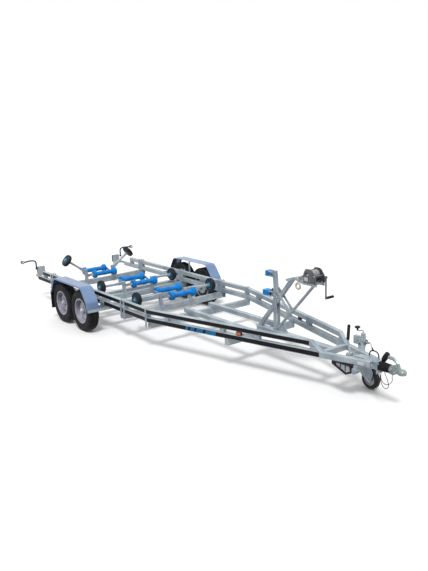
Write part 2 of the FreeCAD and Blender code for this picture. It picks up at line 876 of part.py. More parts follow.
def side_support(name, station, side):
    """Where an arm leaves its post, and the middle and direction of its wheel."""
    bottom = size.lower_rail_bottom
    if name == "rear":
        root = point(station, side * size.post_offset, post_top - size.side_arm_socket)
        hub = point(station, side * (size.rail_half_span - size.rear_side_wheel_inset),
                    bottom + size.rear_side_wheel_rise)
    else:
        root = point(station, side * size.post_offset, bottom + size.side_wheel_rise)
        hub = point(station, side * (size.rail_half_span - size.side_wheel_inset),
                    bottom + size.side_wheel_rise)
    return root, hub, (hub - root).normalize()


def side_arms():
    """Square arms that slide in a socket on each post, each with an axle for its side wheel."""
    pieces = []
    post_face = size.post_offset + size.post_width / 2
    beyond = size.side_wheel_width / 2 + size.running_gap
    for name, station in cradle_stations.items():
        for _, side in SIDES:
            root, hub, along = side_support(name, station, side)
            lift = size.side_arm_socket / 2 * abs(along.z)
            start = root + along * ((size.post_width / 2 + lift) / abs(along.y))
            collar = hub - along * beyond
            tip = hub + along * beyond
            socket = bar("side_arm_socket", "side_arm_socket", root, start + along * size.socket_length)
            inside = bar("2 * post_depth", "2 * post_rise", point(station, 0, root.z),
                         point(station, side * post_face, root.z))
            socket = cut(socket, [inside])
            arm = tube("side_arm_tube", "side_arm_tube", start, collar)
            axle = rod("side_axle_radius", collar, tip)
            cap = rod("side_axle_radius + clamp_plate", tip, tip + along * size.clamp_plate)
            pieces.append(fused([socket, arm, axle, cap]))
    node("side_arms", pieces)


def side_wheels():
    half = size.side_wheel_width / 2
    big = size.side_wheel_radius
    hub = size.side_hub_radius
    bore = size.side_axle_radius + size.running_fit
    wall = [
        (half, bore),
        (half, hub * 0.7),
        (half - size.running_gap, hub),
        (half * 0.62, big * 0.64),
        (half * 0.94, big * 0.74),
        (half * 0.9, big * 0.92),
        (half * 0.55, big),
    ]
    section = wall + [(-along, radius) for along, radius in reversed(wall)]
    for name, station in cradle_stations.items():
        for side_name, side in SIDES:
            _, place, along = side_support(name, station, side)
            node(f"side_wheel_{name}_{side_name}", [turned(section, place, along)])


platform_base = spine_top + size.winch_post_rise
platform_seat = platform_base + size.platform_flange
bow_station = cross_winch + size.bow_post_ahead
bow_post_top = spine_top + size.bow_post_rise
bow_tube_top = bow_post_top + size.bow_tube_rise
winch_station = cross_winch + size.winch_ahead
strut_slope = size.winch_post_rise / (size.winch_strut_reach - size.winch_strut_foot)


def strut_height(station):
    """Height of the winch strut's centre line at a station."""
    return spine_top + strut_slope * (station - cross_winch - size.winch_strut_foot)


def platform_chain():
    """Top face of the folded platform: up to a peak, then level where the winch sits."""
    return [
        (cross_winch + size.platform_rear, platform_seat - size.platform_dip / 3),
        (cross_winch + size.platform_peak, platform_seat + size.platform_dip, size.platform_flange),
        (cross_winch + size.platform_rest, platform_seat, size.platform_flange),
        (cross_winch + size.platform_front, platform_seat),
    ]


def slanted(width, start, end):
    """A square tube that runs past both ends, to be cut level there."""
    over = (end - start).normalize() * 2 * getattr(size, width)
    return tube(width, width, start - over, end + over)


def winch_post():
    """Leaning main tube, thin strut with its gusset, and the folded platform for the winch."""
    main = slanted("winch_post_width", point(cross_winch, 0, spine_top),
                   point(cross_winch + size.winch_post_reach, 0, platform_base))
    foot = point(cross_winch + size.winch_strut_foot, 0, spine_top)
    strut = slanted("winch_strut", foot, point(cross_winch + size.winch_strut_reach, 0, platform_base))
    half_rise = foot.x + size.gusset_rise / strut_slope
    gusset = side_plate([(foot.x, spine_top), (cross_winch + size.gusset_reach, spine_top),
                         (half_rise, spine_top + size.gusset_rise)], "bow_plate", 0)
    chain = platform_chain()
    faces = sheet_outline(chain, size.platform_sheet)
    under = faces[len(chain):]
    high = platform_seat + 2 * size.winch_post_width
    above = side_plate(under + [(chain[0][0], high), (chain[-1][0], high)], "4 * spine_width", 0)
    below = block(("2 * winch_strut_reach", "4 * spine_width", "lower_rail_bottom"),
                  point(cross_winch - size.lower_rail_bottom, -2 * size.spine_width,
                        spine_top - size.lower_rail_bottom))
    pin = point(cross_winch + size.brace_foot_ahead, 0, 0)
    pin.z = strut_height(pin.x)
    over = ACROSS * size.winch_post_width
    bore = rod("bow_pin_radius + running_fit", pin - over, pin + over)
    tubes = cut(fused([main, strut, gusset]), [above, below, bore])
    floor = side_plate(faces, "2 * platform_half_width", 0)
    flange_side = sheet_outline(chain, size.platform_flange)
    flanges = [side_plate(flange_side, "platform_sheet",
                          side * (size.platform_half_width - size.platform_sheet / 2)) for _, side in SIDES]
    node("winch_post", [fused([tubes, floor] + flanges)])


def bow_blocks_at():
    """Height, length and front face station of the upper and the lower bow block."""
    upper = bow_tube_top - size.upper_block_drop
    lower = bow_post_top - size.lower_block_drop
    upper_face = bow_station - size.bow_tube - size.brace_width
    lower_face = bow_station - 2 * size.brace_width
    return ((upper, "upper_block_length", upper_face), (lower, "lower_block_length", lower_face))


def bow_stop():
    """Two flat uprights beside the main tube, their braces, the upper tube and its brackets."""
    gap = (size.winch_post_width + size.bow_plate) / 2
    reach = ACROSS * (gap + size.bow_plate / 2)
    pin = point(cross_winch + size.brace_foot_ahead, 0, 0)
    pin.z = strut_height(pin.x)
    pieces = [rod("bow_pin_radius", pin - reach, pin + reach)]
    for _, side in SIDES:
        foot = point(bow_station, side * gap, spine_top)
        top = point(bow_station, side * gap, bow_post_top)
        pieces.append(bar("bow_plate", "bow_post", foot, top))
        brace_top = top + AHEAD * size.bow_post / 2 - UP * size.bow_post / 2
        pieces.append(bar("bow_plate", "brace_width", brace_top, pin + ACROSS * side * gap))
        pieces.append(rod("brace_width / 2", pin + ACROSS * side * (gap - size.bow_plate / 2), pin + reach * side))
    base = point(bow_station, 0, bow_post_top - 1.5 * size.bow_post)
    upper = point(bow_station - size.bow_tube / 2, 0, bow_tube_top)
    pieces.append(tube("bow_tube", "bow_tube", base, upper))
    for lift in (size.bow_tube / 2, size.bow_post):
        pieces.append(rod("bow_pin_radius", base + UP * lift - reach, base + UP * lift + reach))
    for height, length, face in bow_blocks_at():
        back = point(face + size.bow_plate / 2, 0, height)
        plate = bar("0.8 * bow_block_width", "bow_block_height", back - AHEAD * size.bow_plate / 2,
                    back + AHEAD * size.bow_plate / 2)
        arm = bar("bow_tube", "bow_plate", back, point(bow_station - size.bow_tube / 2, 0, height))
        pieces += [plate, arm]
    lower = point(bow_station - size.bow_tube / 2, 0, bow_blocks_at()[1][0])
    pieces.append(rod("bow_pin_radius", lower - reach, lower + reach))
    node("bow_post", [fused(pieces)])


def bow_blocks():
    """Two plain blocks that the bow rests against, behind the bow post."""
    pieces = []
    for height, length, face in bow_blocks_at():
        low = point(face - getattr(size, length), -size.bow_block_width / 2, height - size.bow_block_height / 2)
        whole = block((length, "bow_block_width", "bow_block_height"), low)
        pieces.append(softened(whole, size.rail_edge, 0))
    node("bow_blocks", pieces)


def winch():
    """Hand winch: cheeks on a base, gear cover, drum, crank, and the strap with its ring hook."""
    rear = winch_station - size.winch_length / 2
    front = winch_station + size.winch_length / 2
    top = platform_seat + size.winch_height
    base = block(("winch_length", "2 * winch_side", "winch_plate"), point(rear, -size.winch_side, platform_seat))
    dome = size.winch_dome
    cheek_side = [
        (rear, platform_seat),
        (front, platform_seat),
        (front, top - 2 * dome, dome / 2),
        (rear + 2.2 * dome, top, dome),
        (rear, top, dome * 0.9),
    ]
    cheeks = [side_plate(cheek_side, "winch_plate", side * (size.winch_side - size.winch_plate / 2))
              for _, side in SIDES]
    drum_axis = point(winch_station - size.drum_back, 0, platform_seat + size.drum_rise)
    crank_axis = point(winch_station + size.crank_ahead, 0, platform_seat + size.crank_rise)
    cover_end = size.winch_side + size.gear_depth
    cover = rod("gear_radius", crank_axis + ACROSS * size.winch_side, crank_axis + ACROSS * cover_end)
    over = ACROSS * size.crank_side
    drum_bore = rod("drum_shaft_radius + running_fit", drum_axis - over, drum_axis + over)
    crank_root = crank_axis + ACROSS * (size.winch_side - size.winch_plate)
    crank_bore = rod("crank_shaft_radius + running_fit", crank_root, crank_axis + over)
    frame = cut(fused([base, cover] + cheeks), [drum_bore, crank_bore])
    node("winch_frame", [frame, strap_and_hook(drum_axis)])

    inside = size.winch_side - size.winch_plate - size.running_gap
    flange = ACROSS * (inside - size.winch_plate)
    roll = rod("strap_roll_radius", drum_axis - flange, drum_axis + flange)
    shaft_end = ACROSS * (size.winch_side + size.winch_plate)
    shaft = rod("drum_shaft_radius", drum_axis - shaft_end, drum_axis + shaft_end)
    flanges = [rod("drum_flange_radius", drum_axis + flange * side, drum_axis + ACROSS * inside * side)
               for _, side in SIDES]
    node("winch_drum", [fused([roll, shaft] + flanges)])

    arm_top = crank_axis + ACROSS * (size.crank_side - size.crank_bar / 2)
    arm_low = arm_top - UP * size.crank_length
    crank_shaft = rod("crank_shaft_radius", crank_root, crank_axis + over)
    ratchet_start = cover_end + size.running_gap
    ratchet = rod("gear_radius / 2", crank_axis + ACROSS * ratchet_start,
                  crank_axis + ACROSS * (ratchet_start + size.gear_depth))
    arm = bar("crank_bar", "crank_bar / 2", arm_top + UP * size.crank_bar, arm_low)
    handle_start = arm_low + UP * size.grip_radius
    handle = rod("grip_radius", handle_start, handle_start + ACROSS * (size.crank_bar / 2 + size.grip_length))
    node("winch_crank", [fused([crank_shaft, ratchet, arm, handle])])


def strap_and_hook(drum_axis):
    """The strap from behind the drum to the platform, with a ring hook over the platform's edge."""
    over_edge = platform_seat + size.platform_dip + size.strap_sheet + size.seat_gap
    end = point(cross_winch + size.platform_rest - size.strap_width, 0, over_edge)
    radius = size.strap_roll_radius + size.running_gap + size.strap_sheet
    reach = end - drum_axis
    turn = math.atan2(reach.z, reach.x) - math.acos(radius / reach.Length)
    leave = (drum_axis.x + radius * math.cos(turn), drum_axis.z + radius * math.sin(turn))
    chain = [(end.x - size.strap_width, end.z), (end.x, end.z), leave]
    clear_of_flange = size.winch_side - 2 * size.winch_plate - 2 * size.running_gap
    middle = size.strap_width / 2 - clear_of_flange
    strap = side_plate(sheet_outline(chain, size.strap_sheet), "strap_width", middle)
    ring_offset = -size.platform_half_width - size.seat_gap - size.hook_width / 2
    ring = point(end.x - size.strap_width / 2, ring_offset, platform_seat - 1.5 * size.hook_radius)
    half = ACROSS * size.hook_width / 2
    shank = end - AHEAD * size.strap_width / 2 + UP * size.hook_width / 2
    pieces = [
        strap,
        bar("hook_width", "hook_width", shank + ACROSS * middle, shank + ACROSS * ring_offset - half),
        bar("hook_width", "hook_width", shank + ACROSS * ring_offset, ring + UP * (size.hook_radius + size.hook_bore) / 2),
        rod("hook_radius", ring - half, ring + half),
    ]
    return cut(fused(pieces), [rod("hook_bore", ring - half * 2, ring + half * 2)])


def jockey():
    """Jockey wheel beside the left rail: clamped tube with its crank, sliding mast, fork and wheel."""
    mast_station = size.nose_reach - size.mast_setback
    clamp_low = rail_outer(mast_station + size.mast_radius)
    base = point(mast_station, clamp_low + size.mast_gap, 0)
    bottom = size.lower_rail_bottom - size.mast_drop
    top = lower_rail_top + size.mast_rise
    sleeve = rod("mast_radius", base + UP * bottom, base + UP * top)
    bore = rod("inner_mast_radius + running_fit", base, base + UP * (top - size.mast_radius))
    clamp = block(("2 * mast_radius", "mast_gap", "lower_rail_height + clamp_rise"),
                  point(mast_station - size.mast_radius, clamp_low, size.lower_rail_bottom))
    lock = base + UP * (lower_rail_top + size.clamp_rise - 2 * size.toggle_radius)
    lock_end = lock + AHEAD * size.toggle_reach
    toggle_end = lock_end + (AHEAD - UP).normalize() * size.toggle_length
    crank_end = base + UP * (top + size.knob_rise) - AHEAD * size.knob_reach
    handles = [
        rod("toggle_radius", lock, lock_end),
        rod("toggle_bar / 2", lock_end - AHEAD * size.toggle_bar, toggle_end),
        rod("toggle_bar / 2", base + UP * (top - size.toggle_bar), crank_end),
        rod("knob_radius", crank_end, crank_end + UP * size.knob_height),
    ]
    node("jockey_sleeve", [cut(fused([sleeve, clamp] + handles), [bore, lower_rail(1)])])

    plate_top = 2 * (size.jockey_radius + size.running_gap) + size.fork_plate
    node("jockey_mast", [rod("inner_mast_radius", base + UP * (plate_top + size.seat_gap),
                             base + UP * (bottom + size.mast_overlap_length))])
    hub = base + AHEAD * size.fork_trail + UP * size.jockey_radius
    rear = mast_station - size.fork_tail
    inner = size.jockey_width / 2 + size.running_gap
    corner = size.fork_corner
    crown = UP * (plate_top - size.fork_plate / 2)
    pieces = [bar("jockey_width + 2 * running_gap", "fork_plate", point(rear, base.y, 0) + crown,
                  point(hub.x + corner, base.y, 0) + crown)]
    outline = [
        (rear, plate_top + corner, corner * 0.8),
        (rear, plate_top - corner, corner * 0.8),
        (hub.x - corner, hub.z - 1.5 * corner, corner),
        (hub.x + corner, hub.z - 1.5 * corner, corner),
        (hub.x + 3 * corner, hub.z + 4 * corner, 2 * corner),
        (hub.x + corner, plate_top + corner, corner * 0.8),
    ]
    for _, side in SIDES:
        pieces.append(side_plate(outline, "fork_plate", base.y + side * (inner + size.fork_plate / 2)))
    reach = ACROSS * (inner + size.fork_plate)
    pieces.append(rod("jockey_axle_radius", hub - reach, hub + reach))
    node("jockey_fork", [fused(pieces)])

    half = size.jockey_width / 2
    rim = size.jockey_rim_radius
    wall = [
        (half, size.jockey_axle_radius + size.running_fit),
        (half, rim * 0.3),
        (half * 0.5, rim * 0.4),
        (half * 0.5, rim * 0.9),
        (half * 0.9, rim),
        (half, size.jockey_radius * 0.86),
        (half * 0.7, size.jockey_radius),
    ]
    section = wall + [(-along, radius) for along, radius in reversed(wall)]
    node("jockey_wheel", [turned(section, hub, ACROSS)])


def overrun():
    """Overrun housing between the rails with its plug holder, and the pleated bellows."""
    rear = size.nose_reach - size.housing_rear_setback
    front = size.nose_reach - size.housing_front_setback
    bottom = size.lower_rail_bottom - size.housing_drop
    flange = size.housing_flange
    half = size.housing_half_width
    housing = block(("housing_rear_setback - housing_front_setback", "2 * housing_half_width", "housing_height"),
                    point(rear, -half, bottom))
    face = block(("housing_flange", "2 * housing_half_width + 2 * housing_flange",
                  "housing_height + 5 * housing_flange"),
                 point(front - flange, -half - flange, bottom - 4 * flange))
    plug_foot = point(front - flange / 2, size.plug_offset, bottom + size.housing_height)
    lean = (AHEAD + UP * 1.6).normalize()
    holder = rod("plug_radius / 2", plug_foot - lean * size.plug_radius / 2, plug_foot + lean * size.plug_radius)
    plug = rod("plug_radius", plug_foot + lean * size.plug_radius, plug_foot + lean * (size.plug_radius + size.plug_length))
    node("overrun_housing", [cut(fused([housing, face, holder, plug]), [lower_rail(side) for _, side in SIDES])])

    length = size.housing_front_setback - size.bellows_setback
    pleat = length / BELLOWS_PLEATS
    section = [(0, 0), (0, size.bellows_waist)]
    for number in range(BELLOWS_PLEATS):
        section.append(((number + 0.5) * pleat, size.bellows_radius))
        section.append(((number + 1) * pleat, size.bellows_waist))
    section.append((length, 0))
    node("bellows", [turned(section, point(front, 0, coupling_height), AHEAD)])


def coupling():
    """Coupling head with a domed cup over its ball socket, and the bent handle above it."""
    rear = size.nose_reach - size.bellows_setback
    radius = size.coupling_radius
    nose = point(size.nose_reach - radius, 0, coupling_height)
    half = size.coupling_half_height

    def body(lift):
        outline = [
            (rear, coupling_height + half + lift),
            (rear, coupling_height - half, radius / 4),
            (nose.x - 2 * radius, coupling_height - half),
            (nose.x - radius, coupling_height - radius / 2),
            (nose.x, coupling_height - radius / 2),
            (nose.x, coupling_height + radius * 0.55 + lift),
        ]
        return side_plate(outline, "coupling_body_width", 0)

    dome = [(-radius / 2, 0), (-radius / 2, radius), (radius * 0.2, radius), (radius / 2, radius * 0.8),
            (radius * 0.6, radius * 0.45), (radius * 0.6, 0)]
    cup = turned(dome, nose, UP)
    socket = rod("ball_radius", nose - UP * 1.5 * radius, nose + UP * radius / 4)
    node("coupling_head", [cut(fused([body(0), cup]), [socket])])

    foot = nose.x - radius * 0.6
    bend = size.handle_sheet * 1.5
    top = coupling_height + half + size.handle_rise
    chain = [
        (foot, coupling_height),
        (foot - size.handle_reach * 0.3, top - size.handle_rise * 0.4, bend),
        (foot - size.handle_reach, top),
    ]
    bent = side_plate(sheet_outline(chain, size.handle_sheet), "handle_width", 0)
    node("coupling_handle", [cut(bent, [body(size.seat_gap)])])


def handbrake():
    """Hand brake lever between two cheeks, and the bridge with the wheel chock beside it."""
    station = size.nose_reach - size.lever_setback
    bridge_top = size.lower_rail_bottom + size.bridge_height
    foot = point(station, 0, bridge_top + size.lever_pivot_rise)
    elbow = foot + UP * (size.lever_length - size.lever_grip_length) - AHEAD * size.lever_lean
    tip = elbow + UP * size.lever_grip_length + AHEAD * size.lever_lean / 3
    lever = bar("lever_width", "lever_sheet", foot, elbow)
    grip = rod("lever_grip_radius", elbow, tip)
    half_eye = ACROSS * size.lever_width / 2
    eye = rod("0.75 * lever_width", foot - half_eye, foot + half_eye)
    pivot = rod("lever_pivot_radius", foot - half_eye * 4, foot + half_eye * 4)
    node("handbrake_lever", [fused([lever, grip, eye, pivot])])

    arch = 0.75 * size.lever_width
    outline = [
        (station - size.post_width, bridge_top),
        (station + size.post_width, bridge_top),
        (station + arch, foot.z + arch, arch),
        (station - arch, foot.z + arch, arch),
    ]
    cheeks = [side_plate(outline, "clamp_plate", side * (size.lever_width + size.clamp_plate)) for _, side in SIDES]
    middle = bridge_top - size.bridge_height / 2
    reach = ACROSS * (rail_outer(station) + rail_inner(station)) / 2
    bridge = bar("2 * post_width", "bridge_height", point(station, 0, middle) - reach,
                 point(station, 0, middle) + reach)
    bore = rod("lever_pivot_radius + running_fit", foot - half_eye * 6, foot + half_eye * 6)
    bracket = cut(fused([bridge] + cheeks), [bore] + [lower_rail(side) for _, side in SIDES])
    node("handbrake_bracket", [bracket, wheel_chock()])


def wheel_chock():
    """A wheel chock stowed under the right rail, broad end forward."""
    station = size.nose_reach - size.chock_setback
    corner = size.chock_heel / 2
    outline = [
        (0, -size.seat_gap),
        (size.chock_length, -size.seat_gap),
        (size.chock_length, -size.chock_height, corner),
        (0, -size.chock_heel, corner),
    ]
    middle = (rail_outer(station) + rail_inner(station)) / 2
    heading = point(math.cos(taper), math.sin(taper), 0)
    return upright_plate(outline, "chock_width", point(station, -middle, size.lower_rail_bottom), heading)


def cords():
    """The plug lead, an arch on the left rail, and the breakaway cable that hangs in two loops."""
    lead = [
        point(4740, 75, 454),
        point(4740, 75, 492),
        point(4772, 75, 520),
        point(4834, 75, 520),
        point(4866, 75, 492),
        point(4866, 75, 454),
    ]
    node("plug_lead", [cord_tube(lead, size.lead_radius)])
    cable = [
        point(5118, -20, 362),
        point(5118, -20, 330),
        point(5124, -22, 292),
        point(5088, -26, 250),
        point(5040, -30, 234),
        point(5000, -37, 262),
        point(4992, -44, 310),
        point(5000, -54, 365),
        point(5008, -54, 425),
        point(5044, -54, 425),
        point(5048, -54, 372),
        point(5070, -54, 335),
        point(5096, -54, 285),
        point(5104, -54, 238),
        point(5076, -54, 200),
        point(5032, -54, 212),
        point(5004, -54, 258),
        point(4990, -50, 302),
        point(4984, -48, 345),
        point(4950, -48, 345),
    ]
    node("breakaway_cable", [cord_tube(cable, size.cable_radius)])


def rear_lamps():
    """Lamp carriers behind the rails with their lamps and outline markers."""
    carriers, lamps, markers = [], [], []
    face = -size.tail_reach + size.lamp_depth
    lamp_low = lower_rail_top + size.rail_gap / 2 - size.lamp_drop
    lamp_offset = size.rail_half_span - size.lamp_inset
    arm_height = lower_rail_top - size.post_width / 2
    for _, side in SIDES:
        arm = bar("clamp_plate", "post_width", point(-rail_rear, side * rail_middle, arm_height),
                  point(face, side * rail_middle, arm_height))
        plate_low = side * lamp_offset - size.lamp_half_width
        plate = block(("clamp_plate", "2 * lamp_half_width", "lamp_height"), point(face, plate_low, lamp_low))
        shelf_middle = face + size.clamp_plate / 2
        shelf = bar("clamp_plate", "post_width",
                    point(shelf_middle, side * (rail_middle + size.clamp_plate / 2), arm_height),
                    point(shelf_middle, side * (lamp_offset - size.lamp_half_width), arm_height))
        carriers.append(fused([arm, plate, shelf]))
        lamp = block(("lamp_depth", "2 * lamp_half_width", "lamp_height"),
                     point(face - size.lamp_depth, plate_low, lamp_low))
        lamps.append(softened(lamp, size.rail_edge, 0))
        foot = point(face + size.clamp_plate + size.marker_arm / 2, side * (lamp_offset + size.lamp_half_width / 2),
                     lamp_low + size.lamp_height - size.marker_arm)
        tip = point(foot.x, side * (size.rail_half_span + size.marker_overhang), lower_rail_top + size.marker_rise)
        head = AHEAD * size.marker_arm * 1.5
        markers.append(fused([bar("marker_arm", "marker_arm", foot, tip),
                              rod("marker_radius", tip - head, tip + head)]))
    node("lamp_carriers", carriers)
    node("rear_lamps", lamps)
    node("outline_markers", markers)


rails()
rail_spacers()
rail_clamps()
roller_crossbeams()
frame_crossbeams()
centre_tubes()
axles()
road_wheels()
fenders()
fender_brackets()
mud_flaps()
cradles()
keel_rollers()
side_arms()
side_wheels()
winch_post()
bow_stop()
bow_blocks()
winch()
jockey()
overrun()
coupling()
handbrake()
cords()
rear_lamps()

# The finished part stands with the middle of its length over the origin.
shift = point((size.tail_reach - size.nose_reach) / 2, 0, 0)
for whole in NODES:
    whole.Placement.Base = shift
doc.recompute()

failed = [piece.Label for piece in doc.Objects
          if "Invalid" in piece.State or "Error" in piece.State]
if failed:
    raise RuntimeError("failed objects: " + ", ".join(failed))
for whole in NODES:
    if whole.Shape.isNull() or not whole.Shape.isValid() or not whole.Shape.Solids:
        raise RuntimeError("bad shape: " + whole.Label)

os.makedirs("parts", exist_ok=True)
for whole in NODES:
    whole.Shape.exportStep(os.path.join("parts", whole.Label + ".step"))
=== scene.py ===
import json
import math
import bmesh
import bpy
from mathutils import Matrix, Vector


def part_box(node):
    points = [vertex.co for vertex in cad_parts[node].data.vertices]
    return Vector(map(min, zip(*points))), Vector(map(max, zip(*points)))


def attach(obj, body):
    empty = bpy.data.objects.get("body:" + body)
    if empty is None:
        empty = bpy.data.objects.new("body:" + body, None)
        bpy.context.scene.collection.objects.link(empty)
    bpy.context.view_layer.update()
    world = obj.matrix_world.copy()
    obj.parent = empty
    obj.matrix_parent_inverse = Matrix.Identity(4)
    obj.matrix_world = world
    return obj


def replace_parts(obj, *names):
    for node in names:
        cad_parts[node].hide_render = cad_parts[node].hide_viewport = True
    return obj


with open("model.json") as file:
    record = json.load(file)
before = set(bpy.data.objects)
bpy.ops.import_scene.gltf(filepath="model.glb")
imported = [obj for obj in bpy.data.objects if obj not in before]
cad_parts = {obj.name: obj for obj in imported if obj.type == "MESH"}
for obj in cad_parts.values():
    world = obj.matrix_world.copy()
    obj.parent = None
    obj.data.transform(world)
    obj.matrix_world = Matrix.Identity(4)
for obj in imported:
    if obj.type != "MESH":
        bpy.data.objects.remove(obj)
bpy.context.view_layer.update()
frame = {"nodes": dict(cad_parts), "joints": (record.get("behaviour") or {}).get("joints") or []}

# The camera that took the photograph: focal length and frame height in pixels, place in metres.
PHOTO_FOCAL = 653.4555
PHOTO_TALL = 571
CAMERA_PLACE = (7.5476, -5.2335, 2.8514)
CAMERA_YAW = math.radians(36.7179)
CAMERA_PITCH = math.radians(-13.2183)
CAMERA_ROLL = math.radians(-1.9552)
SENSOR = 36

UP = Vector((0, 0, 1))
ACROSS = Vector((0, 1, 0))
AHEAD = Vector((1, 0, 0))
WHITE = (1, 1, 1)
BOTH = (-1, 1)
SIDES = (("right", -1), ("left", 1))
ROWS = ("rear", "front")
CRADLES = ("rear", "middle", "front")

# Shapes are made in millimetres: stations ahead of the middle of the axles, offsets, heights.
tyre_rear, tyre_front = (sum(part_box(f"tyre_{row}_right"), Vector()) / 2 for row in ROWS)
TO_METRES = Matrix.Translation(((tyre_rear.x + tyre_front.x) / 2, 0, 0)) @ Matrix.Scale(0.001, 4)
TO_STATIONS = TO_METRES.inverted()


def span(node):
    """The lowest and the highest corner of a construction node."""
    low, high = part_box(node)
    return TO_STATIONS @ low, TO_STATIONS @ high


def middle(node):
    low, high = span(node)
    return (low + high) / 2


def half_size(node):
    low, high = span(node)
    return (high - low) / 2


def put(name, data):
    """A new object in the scene."""
    thing = bpy.data.objects.new(name, data)
    bpy.context.scene.collection.objects.link(thing)
    return thing


def photo_camera():
    """The camera where the photograph was taken from."""
    ahead = Vector((-math.cos(CAMERA_YAW), math.sin(CAMERA_YAW), 0))
    level = Vector((math.sin(CAMERA_YAW), math.cos(CAMERA_YAW), 0))
    forward = math.cos(CAMERA_PITCH) * ahead + math.sin(CAMERA_PITCH) * UP
    upward = level.cross(forward)
    right = math.cos(CAMERA_ROLL) * level + math.sin(CAMERA_ROLL) * upward
    top = math.cos(CAMERA_ROLL) * upward - math.sin(CAMERA_ROLL) * level
    camera = put("camera", bpy.data.cameras.new("camera"))
    camera.data.sensor_width = SENSOR
    camera.data.lens = PHOTO_FOCAL * SENSOR / PHOTO_TALL
    turn = Matrix((right, top, -forward)).transposed()
    camera.matrix_world = Matrix.Translation(CAMERA_PLACE) @ turn.to_4x4()
    bpy.context.scene.camera = camera


def feed(tree, node, inputs):
    """Join each input of a node to another node's socket, or set it to a value."""
    for name, value in inputs.items():
        if isinstance(value, bpy.types.NodeSocket):
            tree.links.new(value, node.inputs[name])
        else:
            node.inputs[name].default_value = value


def add_node(tree, kind, inputs, **settings):
    made = tree.nodes.new("ShaderNode" + kind)
    for name, value in settings.items():
        setattr(made, name, value)
    feed(tree, made, inputs)
    return made


class Finish:
    """A material with its shader, and the texture nodes that vary it over the surface."""

    def __init__(self, name, colour, roughness, metallic=0.0, shine=0.5):
        self.material = bpy.data.materials.new(name)
        self.material.use_nodes = True
        self.tree = self.material.node_tree
        self.place = self.node("TexCoord", {}).outputs["Object"]
        self.surface({"Base Color": (*colour, 1), "Roughness": roughness, "Metallic": metallic,
                      "Specular IOR Level": shine})

    def node(self, kind, inputs, **settings):
        return add_node(self.tree, kind, inputs, **settings)

    def surface(self, inputs):
        feed(self.tree, self.tree.nodes["Principled BSDF"], inputs)

    def noise(self, scale, detail=4, stretch=None):
        """Cloudy noise on the object's own coordinates, so many times to the metre."""
        place = self.place
        if stretch:
            place = self.node("Mapping", {"Vector": place, "Scale": stretch}).outputs["Vector"]
        return self.node("TexNoise", {"Vector": place, "Scale": scale, "Detail": detail}).outputs["Fac"]

    def cells(self, scale):
        """Flat random cells, as the crystals of a zinc coat."""
        made = self.node("TexVoronoi", {"Vector": self.place, "Scale": scale})
        return self.node("SeparateColor", {"Color": made.outputs["Color"]}).outputs["Red"]

    def ribs(self, scale, way):
        """Even ribs that follow one another along an axis of the object."""
        inputs = {"Vector": self.place, "Scale": scale}
        return self.node("TexWave", inputs, wave_type="BANDS", bands_direction=way).outputs["Fac"]

    def ramp(self, factor, *stops):
        made = self.node("ValToRGB", {"Fac": factor})
        while len(made.color_ramp.elements) < len(stops):
            made.color_ramp.elements.new(0.5)
        for element, (place, colour) in zip(made.color_ramp.elements, stops):
            element.position = place
            element.color = (*colour, 1)
        return made.outputs["Color"]

    def multiply(self, share, first, second):
        inputs = {"Factor": share, "A": first, "B": second}
        return self.node("Mix", inputs, data_type="RGBA", blend_type="MULTIPLY").outputs["Result"]

    def colour(self, socket):
        self.surface({"Base Color": socket})

    def roughness(self, factor, low, high):
        made = self.node("MapRange", {"Value": factor, "To Min": low, "To Max": high})
        self.surface({"Roughness": made.outputs["Result"]})

    def bump(self, factor, strength, distance=0.001):
        made = self.node("Bump", {"Height": factor, "Strength": strength, "Distance": distance})
        self.surface({"Normal": made.outputs["Normal"]})


DOWNWARD_RUNS = (1, 1, 0.12)


def zinc(name, dark, pale, stain, roughness=(0.34, 0.55), crystals=90, metallic=0.3):
    """Hot dip galvanising: crystals a finger wide, cloudy stains, runs and a soft shine."""
    made = Finish(name, pale, 0.45, metallic)
    crystal = made.ramp(made.cells(crystals), (0.0, dark), (0.5, pale), (1.0, pale))
    cloud = made.ramp(made.noise(4, 7), (0.35, stain), (0.62, WHITE))
    runs = made.ramp(made.noise(6, 5, DOWNWARD_RUNS), (0.4, (0.86, 0.88, 0.92)), (0.58, WHITE))
    made.colour(made.multiply(1.0, made.multiply(0.8, crystal, cloud), runs))
    made.roughness(made.noise(22, 5), *roughness)
    made.bump(made.noise(160, 3), 0.12, 0.002)
    return made.material


def rubber(name, colour, worn, roughness=(0.62, 0.85), shine=0.2):
    """Black rubber with dust on it."""
    made = Finish(name, colour, 0.75, 0.0, shine)
    made.colour(made.ramp(made.noise(14, 6), (0.4, colour), (0.75, worn)))
    made.roughness(made.noise(40), *roughness)
    made.bump(made.noise(420, 2), 0.15)
    return made.material


def moulded(name, colour, shade, roughness=(0.28, 0.45), shine=0.3):
    """Moulded plastic, a little uneven in colour and gloss."""
    made = Finish(name, colour, 0.35, 0.0, shine)
    made.colour(made.ramp(made.noise(9, 4), (0.3, shade), (0.6, colour)))
    made.roughness(made.noise(60), *roughness)
    made.bump(made.noise(260, 2), 0.08)
    return made.material


def painted_steel(name, colour, shade, metallic=0.55, roughness=(0.3, 0.5), shine=0.4):
    """Silver or dark lacquer on pressed steel."""
    made = Finish(name, colour, 0.4, metallic, shine)
    made.colour(made.ramp(made.noise(11, 5), (0.3, shade), (0.65, colour)))
    made.roughness(made.noise(45), *roughness)
    made.bump(made.noise(300, 2), 0.06)
    return made.material


def lens(name, colour):
    """Coloured lamp lens with fine ribs behind its smooth face."""
    made = Finish(name, colour, 0.12)
    made.surface({"Coat Weight": 0.6})
    ribs = made.ribs(60, "Y")
    made.colour(made.ramp(ribs, (0.0, tuple(part * 0.7 for part in colour)), (0.6, colour)))
    made.bump(ribs, 0.2)
    return made.material


